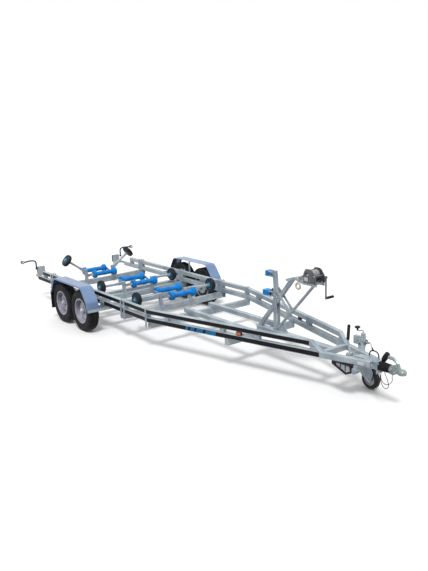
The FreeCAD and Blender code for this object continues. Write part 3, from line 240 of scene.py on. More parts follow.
def webbing(name, colour, shade):
    """Woven strap: close ribs across it, a little soiled."""
    made = Finish(name, colour, 0.8)
    ribs = made.ribs(160, "X")
    weave = made.ramp(ribs, (0.2, shade), (0.7, colour))
    soil = made.ramp(made.noise(25, 4), (0.35, (0.75, 0.75, 0.75)), (0.6, WHITE))
    made.colour(made.multiply(0.8, weave, soil))
    made.bump(ribs, 0.4)
    return made.material


GALVANISED = zinc("galvanised", (0.40, 0.46, 0.50), (0.53, 0.59, 0.62), (0.56, 0.61, 0.67), crystals=150)
BRIGHT_ZINC = zinc("bright_zinc", (0.46, 0.51, 0.54), (0.60, 0.65, 0.67), (0.60, 0.65, 0.68), (0.2, 0.35),
                   200, 0.4)
FENDER_SKIN = zinc("fender_skin", (0.19, 0.28, 0.46), (0.21, 0.31, 0.50), (0.86, 0.89, 0.94), (0.2, 0.3),
                   60, 0.3)
COUPLING_ZINC = zinc("coupling_zinc", (0.28, 0.34, 0.33), (0.40, 0.47, 0.45), (0.4, 0.45, 0.45), (0.2, 0.35),
                     260, 0.4)
TYRE_RUBBER = rubber("tyre_rubber", (0.010, 0.010, 0.013), (0.030, 0.029, 0.031))
BLACK_RUBBER = rubber("black_rubber", (0.010, 0.010, 0.013), (0.025, 0.025, 0.03), (0.45, 0.65))
CABLE_SHEATH = rubber("cable_sheath", (0.008, 0.008, 0.012), (0.02, 0.02, 0.026), (0.4, 0.55))
RIM_SILVER = painted_steel("rim_silver", (0.50, 0.50, 0.57), (0.32, 0.32, 0.39), 0.35)
WINCH_DARK = painted_steel("winch_dark", (0.17, 0.175, 0.185), (0.08, 0.082, 0.09), 0.35, (0.25, 0.4))
STRIPE_BLACK = painted_steel("stripe_black", (0.006, 0.006, 0.009), (0.012, 0.012, 0.016), 0.0, (0.4, 0.55),
                             0.15)
STRIPE_BLUE = painted_steel("stripe_blue", (0.01, 0.22, 0.52), (0.005, 0.15, 0.40), 0.0, (0.4, 0.55), 0.2)
ROLLER_BLUE = moulded("roller_blue", (0.0, 0.24, 0.68), (0.0, 0.14, 0.48), (0.35, 0.5))
HUB_BLUE = moulded("hub_blue", (0.01, 0.20, 0.36), (0.005, 0.09, 0.18))
BLACK_PLASTIC = moulded("black_plastic", (0.007, 0.007, 0.010), (0.004, 0.004, 0.006), (0.35, 0.55), 0.25)
CREAM_PLASTIC = moulded("cream_plastic", (0.72, 0.70, 0.60), (0.50, 0.48, 0.40))
BLANK_LABEL = moulded("blank_label", (0.80, 0.80, 0.82), (0.70, 0.70, 0.73), (0.4, 0.5))
STRAP_GREY = webbing("strap_grey", (0.52, 0.52, 0.50), (0.26, 0.26, 0.25))
LAMP_RED = lens("lamp_red", (0.55, 0.02, 0.015))
LAMP_AMBER = lens("lamp_amber", (0.80, 0.13, 0.01))
LAMP_CLEAR = lens("lamp_clear", (0.80, 0.82, 0.84))

NODE_FINISHES = {
    "tyre": TYRE_RUBBER,
    "rim": RIM_SILVER,
    "fender_left": FENDER_SKIN,
    "fender_right": FENDER_SKIN,
    "mud_flaps": BLACK_RUBBER,
    "keel_roller": ROLLER_BLUE,
    "bow_blocks": ROLLER_BLUE,
    "side_wheel": BLACK_RUBBER,
    "winch_drum": WINCH_DARK,
    "winch_crank": WINCH_DARK,
    "handbrake_lever": BRIGHT_ZINC,
    "jockey_mast": BRIGHT_ZINC,
    "coupling": COUPLING_ZINC,
    "bellows": BLACK_RUBBER,
    "jockey_wheel": BLACK_RUBBER,
    "rear_lamps": BLACK_PLASTIC,
    "outline_markers": BLACK_RUBBER,
}


def node_finishes():
    """Every construction node gets the finish of its kind, and bare zinc where none is named."""
    for name, thing in frame["nodes"].items():
        chosen = [finish for start, finish in NODE_FINISHES.items() if name.startswith(start)]
        thing.data.materials.clear()
        thing.data.materials.append(chosen[0] if chosen else GALVANISED)


def round_curve(name, places, radius, roundness, fineness):
    """A cord or a round bar that follows its places smoothly."""
    curve = bpy.data.curves.new(name, "CURVE")
    curve.dimensions = "3D"
    curve.bevel_depth = radius
    curve.bevel_resolution = roundness
    curve.resolution_u = fineness
    spline = curve.splines.new("NURBS")
    spline.points.add(len(places) - 1)
    for spot, place in zip(spline.points, places):
        spot.co = (*place, 1)
    spline.order_u = 3
    spline.use_endpoint_u = True
    return curve


def cord(name, route, diameter):
    """A sheathed cord along its route, from where it leaves the trailer to where it goes back in."""
    places = [TO_METRES @ Vector(station) for station in route]
    curve = round_curve(name, places, diameter / 2, roundness=5, fineness=10)
    curve.materials.append(CABLE_SHEATH)
    thing = put(name, curve)
    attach(thing, "chassis")
    return thing


def cords():
    """The plug lead in an arch on the left rail, and the breakaway cable in two hanging loops."""
    lead = [(4740, 75, 454), (4740, 75, 492), (4772, 75, 520), (4834, 75, 520), (4866, 75, 492),
            (4866, 75, 454)]
    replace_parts(cord("plug_lead_sheath", lead, 0.014), "plug_lead")
    cable = [(5118, -20, 362), (5118, -20, 330), (5124, -22, 292), (5088, -26, 250), (5040, -30, 234),
             (5000, -37, 262), (4992, -44, 310), (5000, -54, 365), (5008, -54, 425), (5044, -54, 425),
             (5048, -54, 372), (5070, -54, 335), (5096, -54, 285), (5104, -54, 238), (5076, -54, 200),
             (5032, -54, 212), (5004, -54, 258), (4990, -50, 302), (4984, -48, 345), (4950, -48, 345)]
    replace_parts(cord("breakaway_sheath", cable, 0.007), "breakaway_cable")


# The angle from which an edge looks sharp, and from which a plate's edge is softened, and the steps
# in a rounded corner.
SHARP_EDGE = math.radians(35)
PLATE_EDGE = math.radians(60)
CORNER_STEPS = 6


def piece(bm, name, finish=BRIGHT_ZINC, replaced=(), body="chassis"):
    """Turn a finished shape into a named piece that rides on a body: bright zinc unless told."""
    bmesh.ops.transform(bm, matrix=TO_METRES, verts=bm.verts)
    mesh = bpy.data.meshes.new(name)
    bm.to_mesh(mesh)
    bm.free()
    mesh.materials.append(finish)
    mesh.shade_smooth()
    mesh.set_sharp_from_angle(angle=SHARP_EDGE)
    thing = put(name, mesh)
    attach(thing, body)
    if replaced:
        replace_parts(thing, *replaced)


def edges_at(verts):
    return {edge for vert in verts for edge in vert.link_edges}


def soften(bm, edges, width):
    """Round the edges of a shape."""
    bmesh.ops.bevel(bm, geom=list(edges), offset=width, segments=2, profile=0.5, affect="EDGES",
                    clamp_overlap=True, material=-1)


def facing(way):
    """A turn whose Z points along a direction, with X level where that is possible."""
    way = Vector(way).normalized()
    level = UP.cross(way)
    level = level.normalized() if level.length > 0.001 else ACROSS
    return Matrix((level, way.cross(level), way)).transposed().to_4x4()


def along(start, end):
    return Matrix.Translation((start + end) / 2) @ facing(end - start)


def add_cube(bm, size, placed, soft):
    made = bmesh.ops.create_cube(bm, size=1)["verts"]
    bmesh.ops.scale(bm, vec=size, verts=made)
    bmesh.ops.transform(bm, matrix=placed, verts=made)
    if soft:
        soften(bm, edges_at(made), soft)


def add_block(bm, low, high, soft=0):
    low, high = Vector(low), Vector(high)
    add_cube(bm, high - low, Matrix.Translation((low + high) / 2), soft)


def add_bar(bm, start, end, width, depth, soft=0):
    """A flat bar from one place to another: width level, depth upright."""
    add_cube(bm, (width, depth, (end - start).length), along(start, end), soft)


def add_rod(bm, start, end, radius, far_radius=None, steps=24, soft=0):
    start, end = Vector(start), Vector(end)
    made = bmesh.ops.create_cone(bm, cap_ends=True, segments=steps, radius1=radius,
                                 radius2=radius if far_radius is None else far_radius,
                                 depth=(end - start).length, matrix=along(start, end))["verts"]
    if soft:
        soften(bm, [edge for edge in edges_at(made) if any(len(face.verts) > 4 for face in edge.link_faces)],
               soft)


# Washer, nut and thread as shares of a nut's width.
WASHER_SHARE, NUT_SHARE = 0.14, 0.5
WASHER_RADIUS_SHARE, NUT_RADIUS_SHARE, NUT_TOP_SHARE, THREAD_RADIUS_SHARE = 0.68, 0.56, 0.52, 0.28


def add_bolt(bm, place, way, across, thread):
    """A hexagon nut on its washer with the end of its bolt, standing off a face."""
    place, way = Vector(place), Vector(way).normalized()
    washer = place + way * across * WASHER_SHARE
    top = washer + way * across * NUT_SHARE
    add_rod(bm, place, washer, across * WASHER_RADIUS_SHARE, steps=16)
    add_rod(bm, washer, top, across * NUT_RADIUS_SHARE, across * NUT_TOP_SHARE, steps=6)
    add_rod(bm, top, top + way * thread, across * THREAD_RADIUS_SHARE, steps=10)


def add_side_bolts(bm, station, offset, level, across, thread):
    """A bolt on the right and one on the left, each pointing outwards."""
    for side in BOTH:
        add_bolt(bm, (station, side * offset, level), side * ACROSS, across, thread)


def add_turned(bm, profile, centre, way, steps):
    """Spin a closed half section, places along the axis and radii, round a direction."""
    before = set(bm.verts)
    ring = [bm.verts.new((radius, 0, place)) for place, radius in profile]
    edges = [bm.edges.new(pair) for pair in zip(ring, ring[1:] + ring[:1])]
    bmesh.ops.spin(bm, geom=ring + edges, cent=(0, 0, 0), axis=(0, 0, 1), angle=2 * math.pi,
                   steps=steps, use_merge=True, use_duplicate=False)
    made = [vert for vert in bm.verts if vert not in before]
    bmesh.ops.remove_doubles(bm, verts=made, dist=0.01)
    made = [vert for vert in bm.verts if vert not in before]
    bmesh.ops.transform(bm, matrix=Matrix.Translation(centre) @ facing(way), verts=made)
    faces = [face for face in bm.faces if face.verts[0] not in before]
    bmesh.ops.recalc_face_normals(bm, faces=faces)
    return faces


def hoop(start, end, inner, outer):
    """The half section of a plain ring."""
    return [(start, inner), (start, outer), (end, outer), (end, inner)]


def mirrored(half_section):
    """A half section with the same again on the other side of its middle."""
    return half_section + [(-place, radius) for place, radius in reversed(half_section)]


def spokes(count, level=UP, first=0):
    """Directions that point away from an axle, evenly spread round it."""
    for number in range(count):
        angle = 2 * math.pi * (number + first) / count
        yield AHEAD * math.cos(angle) + level * math.sin(angle)


def add_bent_rod(bm, route, radius):
    """A round bar bent smoothly along a route."""
    curve = round_curve("bent_rod", route, radius, roundness=3, fineness=6)
    curve.use_fill_caps = True
    holder = bpy.data.objects.new("bent_rod", curve)
    mesh = bpy.data.meshes.new_from_object(holder)
    before = set(bm.verts)
    bm.from_mesh(mesh)
    made = [vert for vert in bm.verts if vert not in before]
    bmesh.ops.remove_doubles(bm, verts=made, dist=0.01)
    bmesh.ops.recalc_face_normals(bm, faces=[face for face in bm.faces if face.verts[0] not in before])
    bpy.data.objects.remove(holder)
    bpy.data.curves.remove(curve)
    bpy.data.meshes.remove(mesh)


def rounded(points):
    """An outline in its own plane, with each corner rounded that names a radius."""
    smooth = []
    for before, (across, up, *radius), after in zip(points[-1:] + points[:-1], points,
                                                    points[1:] + points[:1]):
        corner = Vector((across, up))
        if not radius:
            smooth.append(corner)
            continue
        first = (Vector(before[:2]) - corner).normalized()
        last = (Vector(after[:2]) - corner).normalized()
        half = first.angle(last) / 2
        centre = corner + (first + last).normalized() * radius[0] / math.sin(half)
        start = corner + first * radius[0] / math.tan(half) - centre
        end = corner + last * radius[0] / math.tan(half) - centre
        for step in range(CORNER_STEPS + 1):
            smooth.append(centre + start.lerp(end, step / CORNER_STEPS).normalized() * radius[0])
    return smooth


def only(kind, geometry):
    return [part for part in geometry if isinstance(part, kind)]


def add_plate(bm, outline, thickness, offset, holes=(), soft=0):
    """An upright plate along the trailer with cut-outs, its outlines as stations and heights."""
    before = set(bm.verts)
    edges = []
    for loop in (outline, *holes):
        verts = [bm.verts.new((spot[0], offset - thickness / 2, spot[1])) for spot in rounded(list(loop))]
        edges += [bm.edges.new(pair) for pair in zip(verts, verts[1:] + verts[:1])]
    filled = bmesh.ops.triangle_fill(bm, use_beauty=True, use_dissolve=False, edges=edges)["geom"]
    raised = bmesh.ops.extrude_face_region(bm, geom=only(bmesh.types.BMFace, filled))["geom"]
    bmesh.ops.translate(bm, vec=ACROSS * thickness, verts=only(bmesh.types.BMVert, raised))
    made = [face for face in bm.faces if face.verts[0] not in before]
    bmesh.ops.recalc_face_normals(bm, faces=made)
    if soft:
        soften(bm, [edge for edge in {edge for face in made for edge in face.edges}
                    if edge.calc_face_angle(0) > PLATE_EDGE], soft)


photo_camera()
cords()

# The rails: half width of the straight stretch, the bend in plan, and the drawn in nose.
RAIL_BEND = 1790
RAIL_WIDTH = 60
BEND_RADIUS = 260
BEND_SHARES = (0, 0.25, 0.5, 0.75, 1)
NOSE_HALF_SPAN = 86.3
lower_low, lower_high = span("lower_rail_right")
upper_low, upper_high = span("upper_rail_right")
half_span = -upper_low.y
rail_gap = (lower_high.z + upper_low.z) / 2
nose_slope = (half_span - NOSE_HALF_SPAN) / (lower_high.x - RAIL_BEND)
taper = math.atan(nose_slope)
bend_start = RAIL_BEND - BEND_RADIUS * math.tan(taper / 2)
bend_end = bend_start + BEND_RADIUS * math.sin(taper)


def rail_face(station):
    """Half width over the outer faces of the rails at a station."""
    if station < bend_start:
        return half_span
    if station < bend_end:
        return half_span - BEND_RADIUS + math.sqrt(BEND_RADIUS**2 - (station - bend_start)**2)
    return half_span - nose_slope * (station - RAIL_BEND)


def add_ribbon(bm, side, rear, front, low, high, thickness, slant=0):
    """A thin band on the outer face of a rail, with its ends slanted by so much."""
    turns = [bend_start + share * (bend_end - bend_start) for share in BEND_SHARES]
    stations = [rear] + [turn for turn in turns if rear < turn < front] + [front]
    foot = [bm.verts.new((station, side * rail_face(station), low)) for station in stations]
    edges = [bm.edges.new(pair) for pair in zip(foot, foot[1:])]
    raised = bmesh.ops.extrude_edge_only(bm, edges=edges)["geom"]
    lean = AHEAD - ACROSS * side * (nose_slope if rear > bend_end else 0)
    bmesh.ops.translate(bm, vec=UP * (high - low) + lean * slant, verts=only(bmesh.types.BMVert, raised))
    skin = bmesh.ops.extrude_face_region(bm, geom=only(bmesh.types.BMFace, raised))["geom"]
    bmesh.ops.translate(bm, vec=ACROSS * side * thickness, verts=only(bmesh.types.BMVert, skin))
    bmesh.ops.recalc_face_normals(bm, faces=bm.faces)


def rail_stripes():
    """Black bands along the outer faces of the rails, with four blue bars on the lower ones."""
    margin, film, slant = 8, 0.7, 18
    upper_end, lower_end = 4177, 4298
    bars = ((2420, 2462), (2498, 2560), (2597, 2697), (2738, 2895))
    low, high = lower_low.z + margin, lower_high.z - margin
    black = bmesh.new()
    blue = bmesh.new()
    for side in BOTH:
        add_ribbon(black, side, upper_low.x, upper_end, upper_low.z + margin, upper_high.z - margin, film)
        add_ribbon(black, side, lower_low.x, lower_end, low, high, film)
        for rear, front in bars:
            add_ribbon(blue, side, rear, front, low, high, 2 * film, slant)
    piece(black, "rail_stripes", STRIPE_BLACK)
    piece(blue, "stripe_bars", STRIPE_BLUE)


def road_tyre(row, side_name, side):
    """A road tyre with four grooves round it and blocks between them."""
    node = f"tyre_{row}_{side_name}"
    half, radius = half_size(node).yz
    groove, cut = 7, 2.2
    crown = [(-0.66, 0), (-0.44, 0), (-0.40, groove), (-0.34, groove), (-0.30, 0), (-0.05, 0),
             (-0.02, groove), (0.02, groove), (0.05, 0), (0.30, 0), (0.34, groove), (0.40, groove),
             (0.44, 0), (0.66, 0)]
    wall = [(0.84, 10), (0.95, 34), (0.985, 52), (0.97, 56), (1.0, 75), (0.985, 97), (0.90, 115),
            (0.86, 122), (0.84, 134)]
    profile = [(half * share, radius - drop) for share, drop in crown + wall]
    profile += [(-half * share, radius - drop) for share, drop in reversed(wall)]
    bm = bmesh.new()
    faces = add_turned(bm, profile, Vector(), UP, 108)
    blocks = [face for face in faces
              if min(vert.co.xy.length for vert in face.verts) > radius - groove / 2]
    bmesh.ops.inset_individual(bm, faces=blocks, thickness=cut, depth=0)
    tops = {vert for face in blocks for vert in face.verts}
    for vert in bm.verts:
        spread = vert.co.xy.length
        if spread > radius - groove / 2 and vert not in tops:
            vert.co.xy *= (spread - groove * 0.6) / spread
    placed = Matrix.Translation(middle(node)) @ facing(side * ACROSS)
    bmesh.ops.transform(bm, matrix=placed, verts=bm.verts)
    bmesh.ops.recalc_face_normals(bm, faces=bm.faces)
    piece(bm, f"treaded_{node}", TYRE_RUBBER, (node,), f"road_wheel_{row}_{side_name}")


def wheel_trim(row, side_name, side):
    """Hub cap with its lip, five wheel nuts, the rubber valve, and a black ring behind the hand holes as
    painted shade.
    """
    centre = middle(f"tyre_{row}_{side_name}")
    body = f"road_wheel_{row}_{side_name}"
    out = side * ACROSS
    nut_circle, nut_seat, cap_seat, valve_circle = 66, 3, 61, 160
    cap = [(cap_seat, 0), (cap_seat, 35), (cap_seat + 3, 35), (cap_seat + 4, 31), (cap_seat + 10, 28),
           (cap_seat + 13, 20), (cap_seat + 14, 0)]
    bm = bmesh.new()
    add_turned(bm, cap, centre, out, 40)
    for spoke in spokes(5, UP, 0.25):
        foot = centre + spoke * nut_circle + out * nut_seat
        add_rod(bm, foot, foot + out * 9, 14, 11, 20)
        add_rod(bm, foot + out * 9, foot + out * 24, 10.5, steps=6, soft=1)
    piece(bm, f"wheel_nuts_{row}_{side_name}", BRIGHT_ZINC, body=body)
    bm = bmesh.new()
    foot = centre + UP * valve_circle + out * 6
    add_rod(bm, foot, foot + out * 26 - UP * 8, 5, 4, 16)
    # Painted shade: a black ring inside the wheel behind the hand holes, so that they look dark.
    add_turned(bm, hoop(-22, -18, 128, 166), centre, out, 40)
    piece(bm, f"valve_{row}_{side_name}", BLACK_RUBBER, body=body)


def side_wheel_hub(name, side_name):
    """Blue moulded hub with ribs in the middle of a side wheel, and the nut on its axle."""
    wheel = f"side_wheel_{name}_{side_name}"
    centre = middle(wheel)
    joint = next(joint for joint in frame["joints"] if joint["name"] == f"{wheel}_spin")
    out = Vector(joint["axis"]).normalized()
    half, bore, boss, web, rim = 32, 13.5, 30, 21.5, 70
    face = [(half + 1, bore), (half + 1, boss), (half - 3, boss + 10), (web, boss + 14), (web, rim - 8),
            (web + 5, rim - 4), (web + 5, rim), (web - 2, rim + 2)]
    bm = bmesh.new()
    add_turned(bm, mirrored(face), centre, out, 48)
    for spoke in spokes(6, out.cross(AHEAD).normalized()):
        for turn in BOTH:
            inner = centre + spoke * boss + out * turn * (web + 2)
            add_bar(bm, inner, inner + spoke * (rim - boss - 6), 6, 6, 1)
    piece(bm, f"side_hub_{name}_{side_name}", HUB_BLUE, body=wheel)
    bm = bmesh.new()
    add_bolt(bm, centre + out * (half + 11), out, 20, 5)
    piece(bm, f"side_axle_nut_{name}_{side_name}")


def cradle_nuts(name):
    """Nuts on the ends of the roller shafts of a cradle."""
    plate = 233
    bm = bmesh.new()
    for place in ("back", "fore"):
        shaft = middle(f"keel_roller_{name}_{place}")
        add_side_bolts(bm, shaft.x, plate, shaft.z, 20, 3)
    piece(bm, f"cradle_nuts_{name}", body=f"cradle_{name}")


def keel_roller(name, place):
    """A blue keel roller: broad grooved ends with a stepped shoulder, and a waist with two bands."""
    node = f"keel_roller_{name}_{place}"
    half, big = half_size(node).yz
    shaft, flange, waist = 10.3, 56, 38
    groove = half - flange / 2
    shoulder = half - flange
    end = [(half - 6, shaft), (half - 6, 30), (half, 34), (half, big - 12), (half - 3, big - 5),
           (half - 9, big), (groove + 4, big), (groove + 3, big - 4), (groove - 3, big - 4),
           (groove - 4, big), (shoulder + 4, big), (shoulder, big - 4), (shoulder - 3, waist + 12),
           (shoulder - 16, waist)]
    band = [(28, waist), (25, waist + 3), (8, waist + 3), (5, waist)]
    bm = bmesh.new()
    add_turned(bm, mirrored(end + band), middle(node), ACROSS, 56)
    piece(bm, f"blue_roller_{name}_{place}", ROLLER_BLUE, (node,), node)


def clamp_bolts():
    """Nuts through the clamp strips, and threaded ends that stand above the clamps."""
    strip_shift, end_shift, strip_face, edge, lid = 41, 19, half_span + 6, 10, 6
    levels = (lower_low.z - 45, rail_gap)
    bm = bmesh.new()
    for name in CRADLES:
        station = middle(f"cradle_{name}").x
        for shift in (-strip_shift, strip_shift):
            for level in levels:
                add_side_bolts(bm, station + shift, strip_face, level, 19, 8)
            for side in BOTH:
                for offset in (half_span - edge, half_span - RAIL_WIDTH + edge):
                    add_bolt(bm, (station + shift, side * offset, upper_high.z + lid), UP, 17, 14)
    for level in levels:
        add_side_bolts(bm, bend_start - end_shift, strip_face, level, 19, 8)
    piece(bm, "clamp_bolts")


def crossbeam_bolts():
    """Nuts on the fronts of the roller crossbeams, behind the cradle posts and under the winch post."""
    post, beam_front, post_back, post_levels = 262, 38, 25, (430, 530)
    winch_cross, winch_half, winch_foot = 3050, 60, 446
    beam = span("roller_crossbeams")[0].z
    bm = bmesh.new()
    for name in CRADLES:
        station = middle(f"cradle_{name}").x
        for side in BOTH:
            for level in (beam + 26, beam + 66):
                add_bolt(bm, (station + beam_front, side * post, level), AHEAD, 18, 6)
            for level in post_levels:
                add_bolt(bm, (station - post_back, side * post, level), -AHEAD, 16, 4)
    for offset in (-winch_half, winch_half):
        for shift in (-18, 18):
            add_bolt(bm, (winch_cross + shift, offset, winch_foot), UP, 18, 12)
    piece(bm, "crossbeam_bolts")


def axle_hangers():
    """Brackets that hang the axles from the rails, with their bolts."""
    ahead, half, foot_half, sheet = 150, 62, 30, 6
    top, corner, foot = 452, 322, 300
    bm = bmesh.new()
    for row in ROWS:
        station = middle(f"tyre_{row}_right").x + ahead
        plate = [(station - half, top, 8), (station - half, corner, 14), (station - foot_half, foot, 10),
                 (station + foot_half, foot, 10), (station + half, corner, 14), (station + half, top, 8)]
        for side in BOTH:
            for offset in (half_span + 4, half_span - RAIL_WIDTH - 4):
                add_plate(bm, plate, sheet, side * offset, soft=0.8)
        for shift in (-42, 42):
            for level in (lower_low.z + 34, lower_low.z - 48):
                add_side_bolts(bm, station + shift, half_span + 7, level, 19, 8)
    piece(bm, "axle_hangers", GALVANISED)


def fender_bolts():
    """Two round headed bolts on top of each fender, and nuts at its front and rear end."""
    bm = bmesh.new()
    for side_name, side in SIDES:
        low, high = span(f"fender_{side_name}")
        inner = side * min(abs(low.y), abs(high.y))
        for shift in (-12, 12):
            foot = Vector((shift, inner + side * 22, high.z))
            add_rod(bm, foot, foot + UP * 3.5, 9, 6, 16)
        for station, level, way in ((low.x - 8, 440, -1), (high.x - 2, 372, 1)):
            for share in (0.2, 0.8):
                add_bolt(bm, (station, low.y + share * (high.y - low.y), level), AHEAD * way, 14, 3)
    piece(bm, "fender_bolts")


def side_markers():
    """Amber marker lamps between the rails on both sides, and their connectors."""
    station, length, tall, depth = 3240, 74, 32, 12
    base = bmesh.new()
    glass = bmesh.new()
    for side in BOTH:
        out = side * (ACROSS + AHEAD * nose_slope).normalized()
        heading = (AHEAD - ACROSS * side * nose_slope).normalized()
        spot = Vector((station, side * (rail_face(station) - depth), rail_gap))
        end = spot + heading * length * 0.56
        add_bar(base, 2 * spot - end, end, 22, tall + 8, 3)
        front = spot + out * depth
        add_bar(glass, front - heading * length / 2, front + heading * length / 2, 16, tall, 5)
        add_rod(base, end, end + heading * 30, 5, 3, 16)
    piece(base, "marker_bases", BLACK_PLASTIC)
    piece(glass, "marker_lenses", LAMP_AMBER)


def bow_stop_trim():
    """Lugs that hold the blue bow blocks, a cap on the lower one, and the bow post's bolts."""
    low, high = span("bow_blocks")
    post_low, post_high = span("bow_post")
    tall, face, lug, skin = 70, 3262, 6, 1.5
    post, post_half = 3355, 36
    half = half_size("bow_blocks").y
    bracket = bmesh.new()
    for side in BOTH:
        offset = side * (half - 4)
        for level in (low.z + 8, low.z + tall - 8, high.z - tall + 8, high.z - 8):
            add_block(bracket, (face - 4, offset - lug, level - lug),
                      (face + 72, offset + lug, level + lug), 2)
    for level in (post_low.z + 34, post_high.z - 330, post_high.z - 240):
        add_side_bolts(bracket, post, post_half, level, 17, 6)
    piece(bracket, "bow_bracket")
    cap = bmesh.new()
    top = low.z + tall
    add_block(cap, (face + 12, -half - skin, low.z - skin), (face + 36, half + skin, top + skin), 3)
    add_rod(cap, (face + 18, 0, top), (face + 18, 0, top + 26), 10, 7, 20, 2)
    piece(cap, "bow_block_cap", BLACK_PLASTIC)


# The winch: the outer faces of its cheeks, the strap, the frame on its platform, and the axes of the
# drum and the crank.
CHEEK_FACE = 75
CHEEK_SHEET = 5
STRAP_SHIFT = ACROSS * -30
STRAP_WIDTH = 50
STRAP_SHEET = 4
ROLL_RADIUS = 50.6
winch_low, winch_high = span("winch_frame")
crank_low, crank_high = span("winch_crank")
winch_rear, winch_front = winch_high.x - 196, winch_high.x
winch_seat = span("winch_post")[1].z - 35
drum = middle("winch_drum")
drum_axis = Vector((drum.x, 0, drum.z))
crank_axis = Vector(((crank_low.x + crank_high.x) / 2, 0, crank_high.z - 25))
tie_rods = ((winch_rear + 22, winch_high.z - 34), (winch_rear + 22, winch_seat + 26),
            (winch_front - 22, winch_seat + 88))


def winch_cheeks():
    """Dark side plates with a window and a hole, their feet, and the tie rods between them."""
    rear, front, seat, top = winch_rear, winch_front, winch_seat, winch_high.z
    cheek = [(rear, seat + CHEEK_SHEET), (front, seat + CHEEK_SHEET, 8), (front, seat + 74, 22),
             (front - 52, top - 14, 40), (front - 84, top, 40), (rear + 36, top, 36), (rear, top - 60, 50)]
    window = [(rear + 30, seat + 92), (rear + 30, seat + 112), (rear + 62, seat + 120),
              (rear + 62, seat + 100)]
    hole = [(rear + 96 + 11 * spoke.x, seat + 28 + 11 * spoke.z) for spoke in spokes(12)]
    dark = bmesh.new()
    for side in BOTH:
        add_plate(dark, cheek, CHEEK_SHEET, side * (CHEEK_FACE - CHEEK_SHEET / 2), (window, hole), 0.8)
        foot = side * (CHEEK_FACE - 16)
        add_block(dark, (rear, foot - 16, seat), (front, foot + 16, seat + CHEEK_SHEET), 1)
    for station, level in tie_rods:
        add_rod(dark, (station, -CHEEK_FACE, level), (station, CHEEK_FACE, level), 7)
    piece(dark, "winch_cheeks", WINCH_DARK, ("winch_frame",))


def winch_gears():
    """Black gear covers outside the left cheek, and the gears, nuts and bolts in bright zinc."""
    cover = bmesh.new()
    for axis, rim, deep in ((crank_axis, 50, 22), (drum_axis, 66, 14)):
        lid = CHEEK_FACE + deep
        add_turned(cover, [(CHEEK_FACE, 14), (CHEEK_FACE, rim), (lid, rim), (lid + 4, rim - 5),
                           (lid + 4, rim - 12), (lid - 2, rim - 14), (lid - 2, 22), (lid + 3, 20),
                           (lid + 3, 14)], axis, ACROSS, 48)
    piece(cover, "winch_gear_covers", BLACK_PLASTIC)

    bright = bmesh.new()
    gears = ((drum_axis, 13, 17, 26, 48, 2), (crank_axis, 21, 24, 23, 34, 1))
    for axis, foot, top, inner, outer, edge in gears:
        disc = [(foot, inner), (foot, outer), (top, outer - edge), (top, inner + edge)]
        add_turned(bright, disc, axis + ACROSS * CHEEK_FACE, ACROSS, 40)
    for spoke in spokes(24):
        tooth = drum_axis + spoke * 47 + ACROSS * (CHEEK_FACE + 16)
        add_bar(bright, tooth, tooth + spoke * 5, 5, 4, 0.6)
    for side in BOTH:
        add_bolt(bright, drum_axis + ACROSS * (side * CHEEK_FACE + (side > 0) * 17), side * ACROSS, 22, 4)
        for station in (winch_rear + 26, winch_front - 26):
            add_bolt(bright, (station, side * (CHEEK_FACE - 24), winch_seat + CHEEK_SHEET), UP, 15, 5)
    for station, level in tie_rods:
        add_side_bolts(bright, station, CHEEK_FACE, level, 15, 3)
    piece(bright, "winch_fixings")


def winch_strap():
    """The strap's roll on the drum, the strap down to its end, and its hook with the ring."""
    wide, coils = CHEEK_FACE - 2 * CHEEK_SHEET - 6, 9
    rows = [(-wide, 12), (-wide, ROLL_RADIUS)]
    for number in range(1, coils):
        edge = -wide + 2 * wide * number / coils
        rows += [(edge - 1.5, ROLL_RADIUS), (edge, ROLL_RADIUS - 1.2), (edge + 1.5, ROLL_RADIUS)]
    roll = bmesh.new()
    add_turned(roll, rows + [(wide, ROLL_RADIUS), (wide, 12)], drum, ACROSS, 48)
    piece(roll, "strap_roll", STRAP_GREY, body="winch_drum")

    end = Vector((3830, 0, winch_seat + 40.4))
    reach = end - drum_axis
    wound = ROLL_RADIUS + 1 + STRAP_SHEET
    turn = math.atan2(reach.z, reach.x) - math.acos(wound / reach.length)
    leave = drum_axis + wound * (AHEAD * math.cos(turn) + UP * math.sin(turn))
    strap = bmesh.new()
    for start, stop in ((leave, end), (end + AHEAD * 2, end - AHEAD * 52)):
        add_bar(strap, start + STRAP_SHIFT, stop + STRAP_SHIFT, STRAP_WIDTH, STRAP_SHEET, 1.2)
    right, left = STRAP_SHIFT.y - STRAP_WIDTH / 2, STRAP_SHIFT.y + STRAP_WIDTH / 2
    add_block(strap, (end.x - 24, right, end.z), (end.x - 4, left, end.z + 7), 2)
    piece(strap, "winch_strap", STRAP_GREY)

    ring = Vector((end.x - 25, winch_low.y + 9, winch_low.z + 40))
    hook = bmesh.new()
    add_bent_rod(hook, [(ring.x, STRAP_SHIFT.y, end.z + 6), (ring.x, -52, end.z + 12),
                        (ring.x, ring.y - 1, end.z + 8), (ring.x, ring.y - 1, end.z - 30),
                        (ring.x, ring.y, ring.z + 33)], 8.5)
    loop = [(-9, 26), (-9, 41), (-5, 46), (5, 46), (9, 41), (9, 26), (5, 22), (-5, 22)]
    add_turned(hook, loop, ring, ACROSS, 40)
    piece(hook, "ring_hook", CREAM_PLASTIC)


def winch_label():
    """A blank label on the right cheek."""
    label = bmesh.new()
    add_block(label, (winch_rear + 18, -CHEEK_FACE - 1.2, winch_seat + 16),
              (winch_rear + 72, -CHEEK_FACE, winch_seat + 62), 0.4)
    piece(label, "blank_winch_label", BLANK_LABEL)


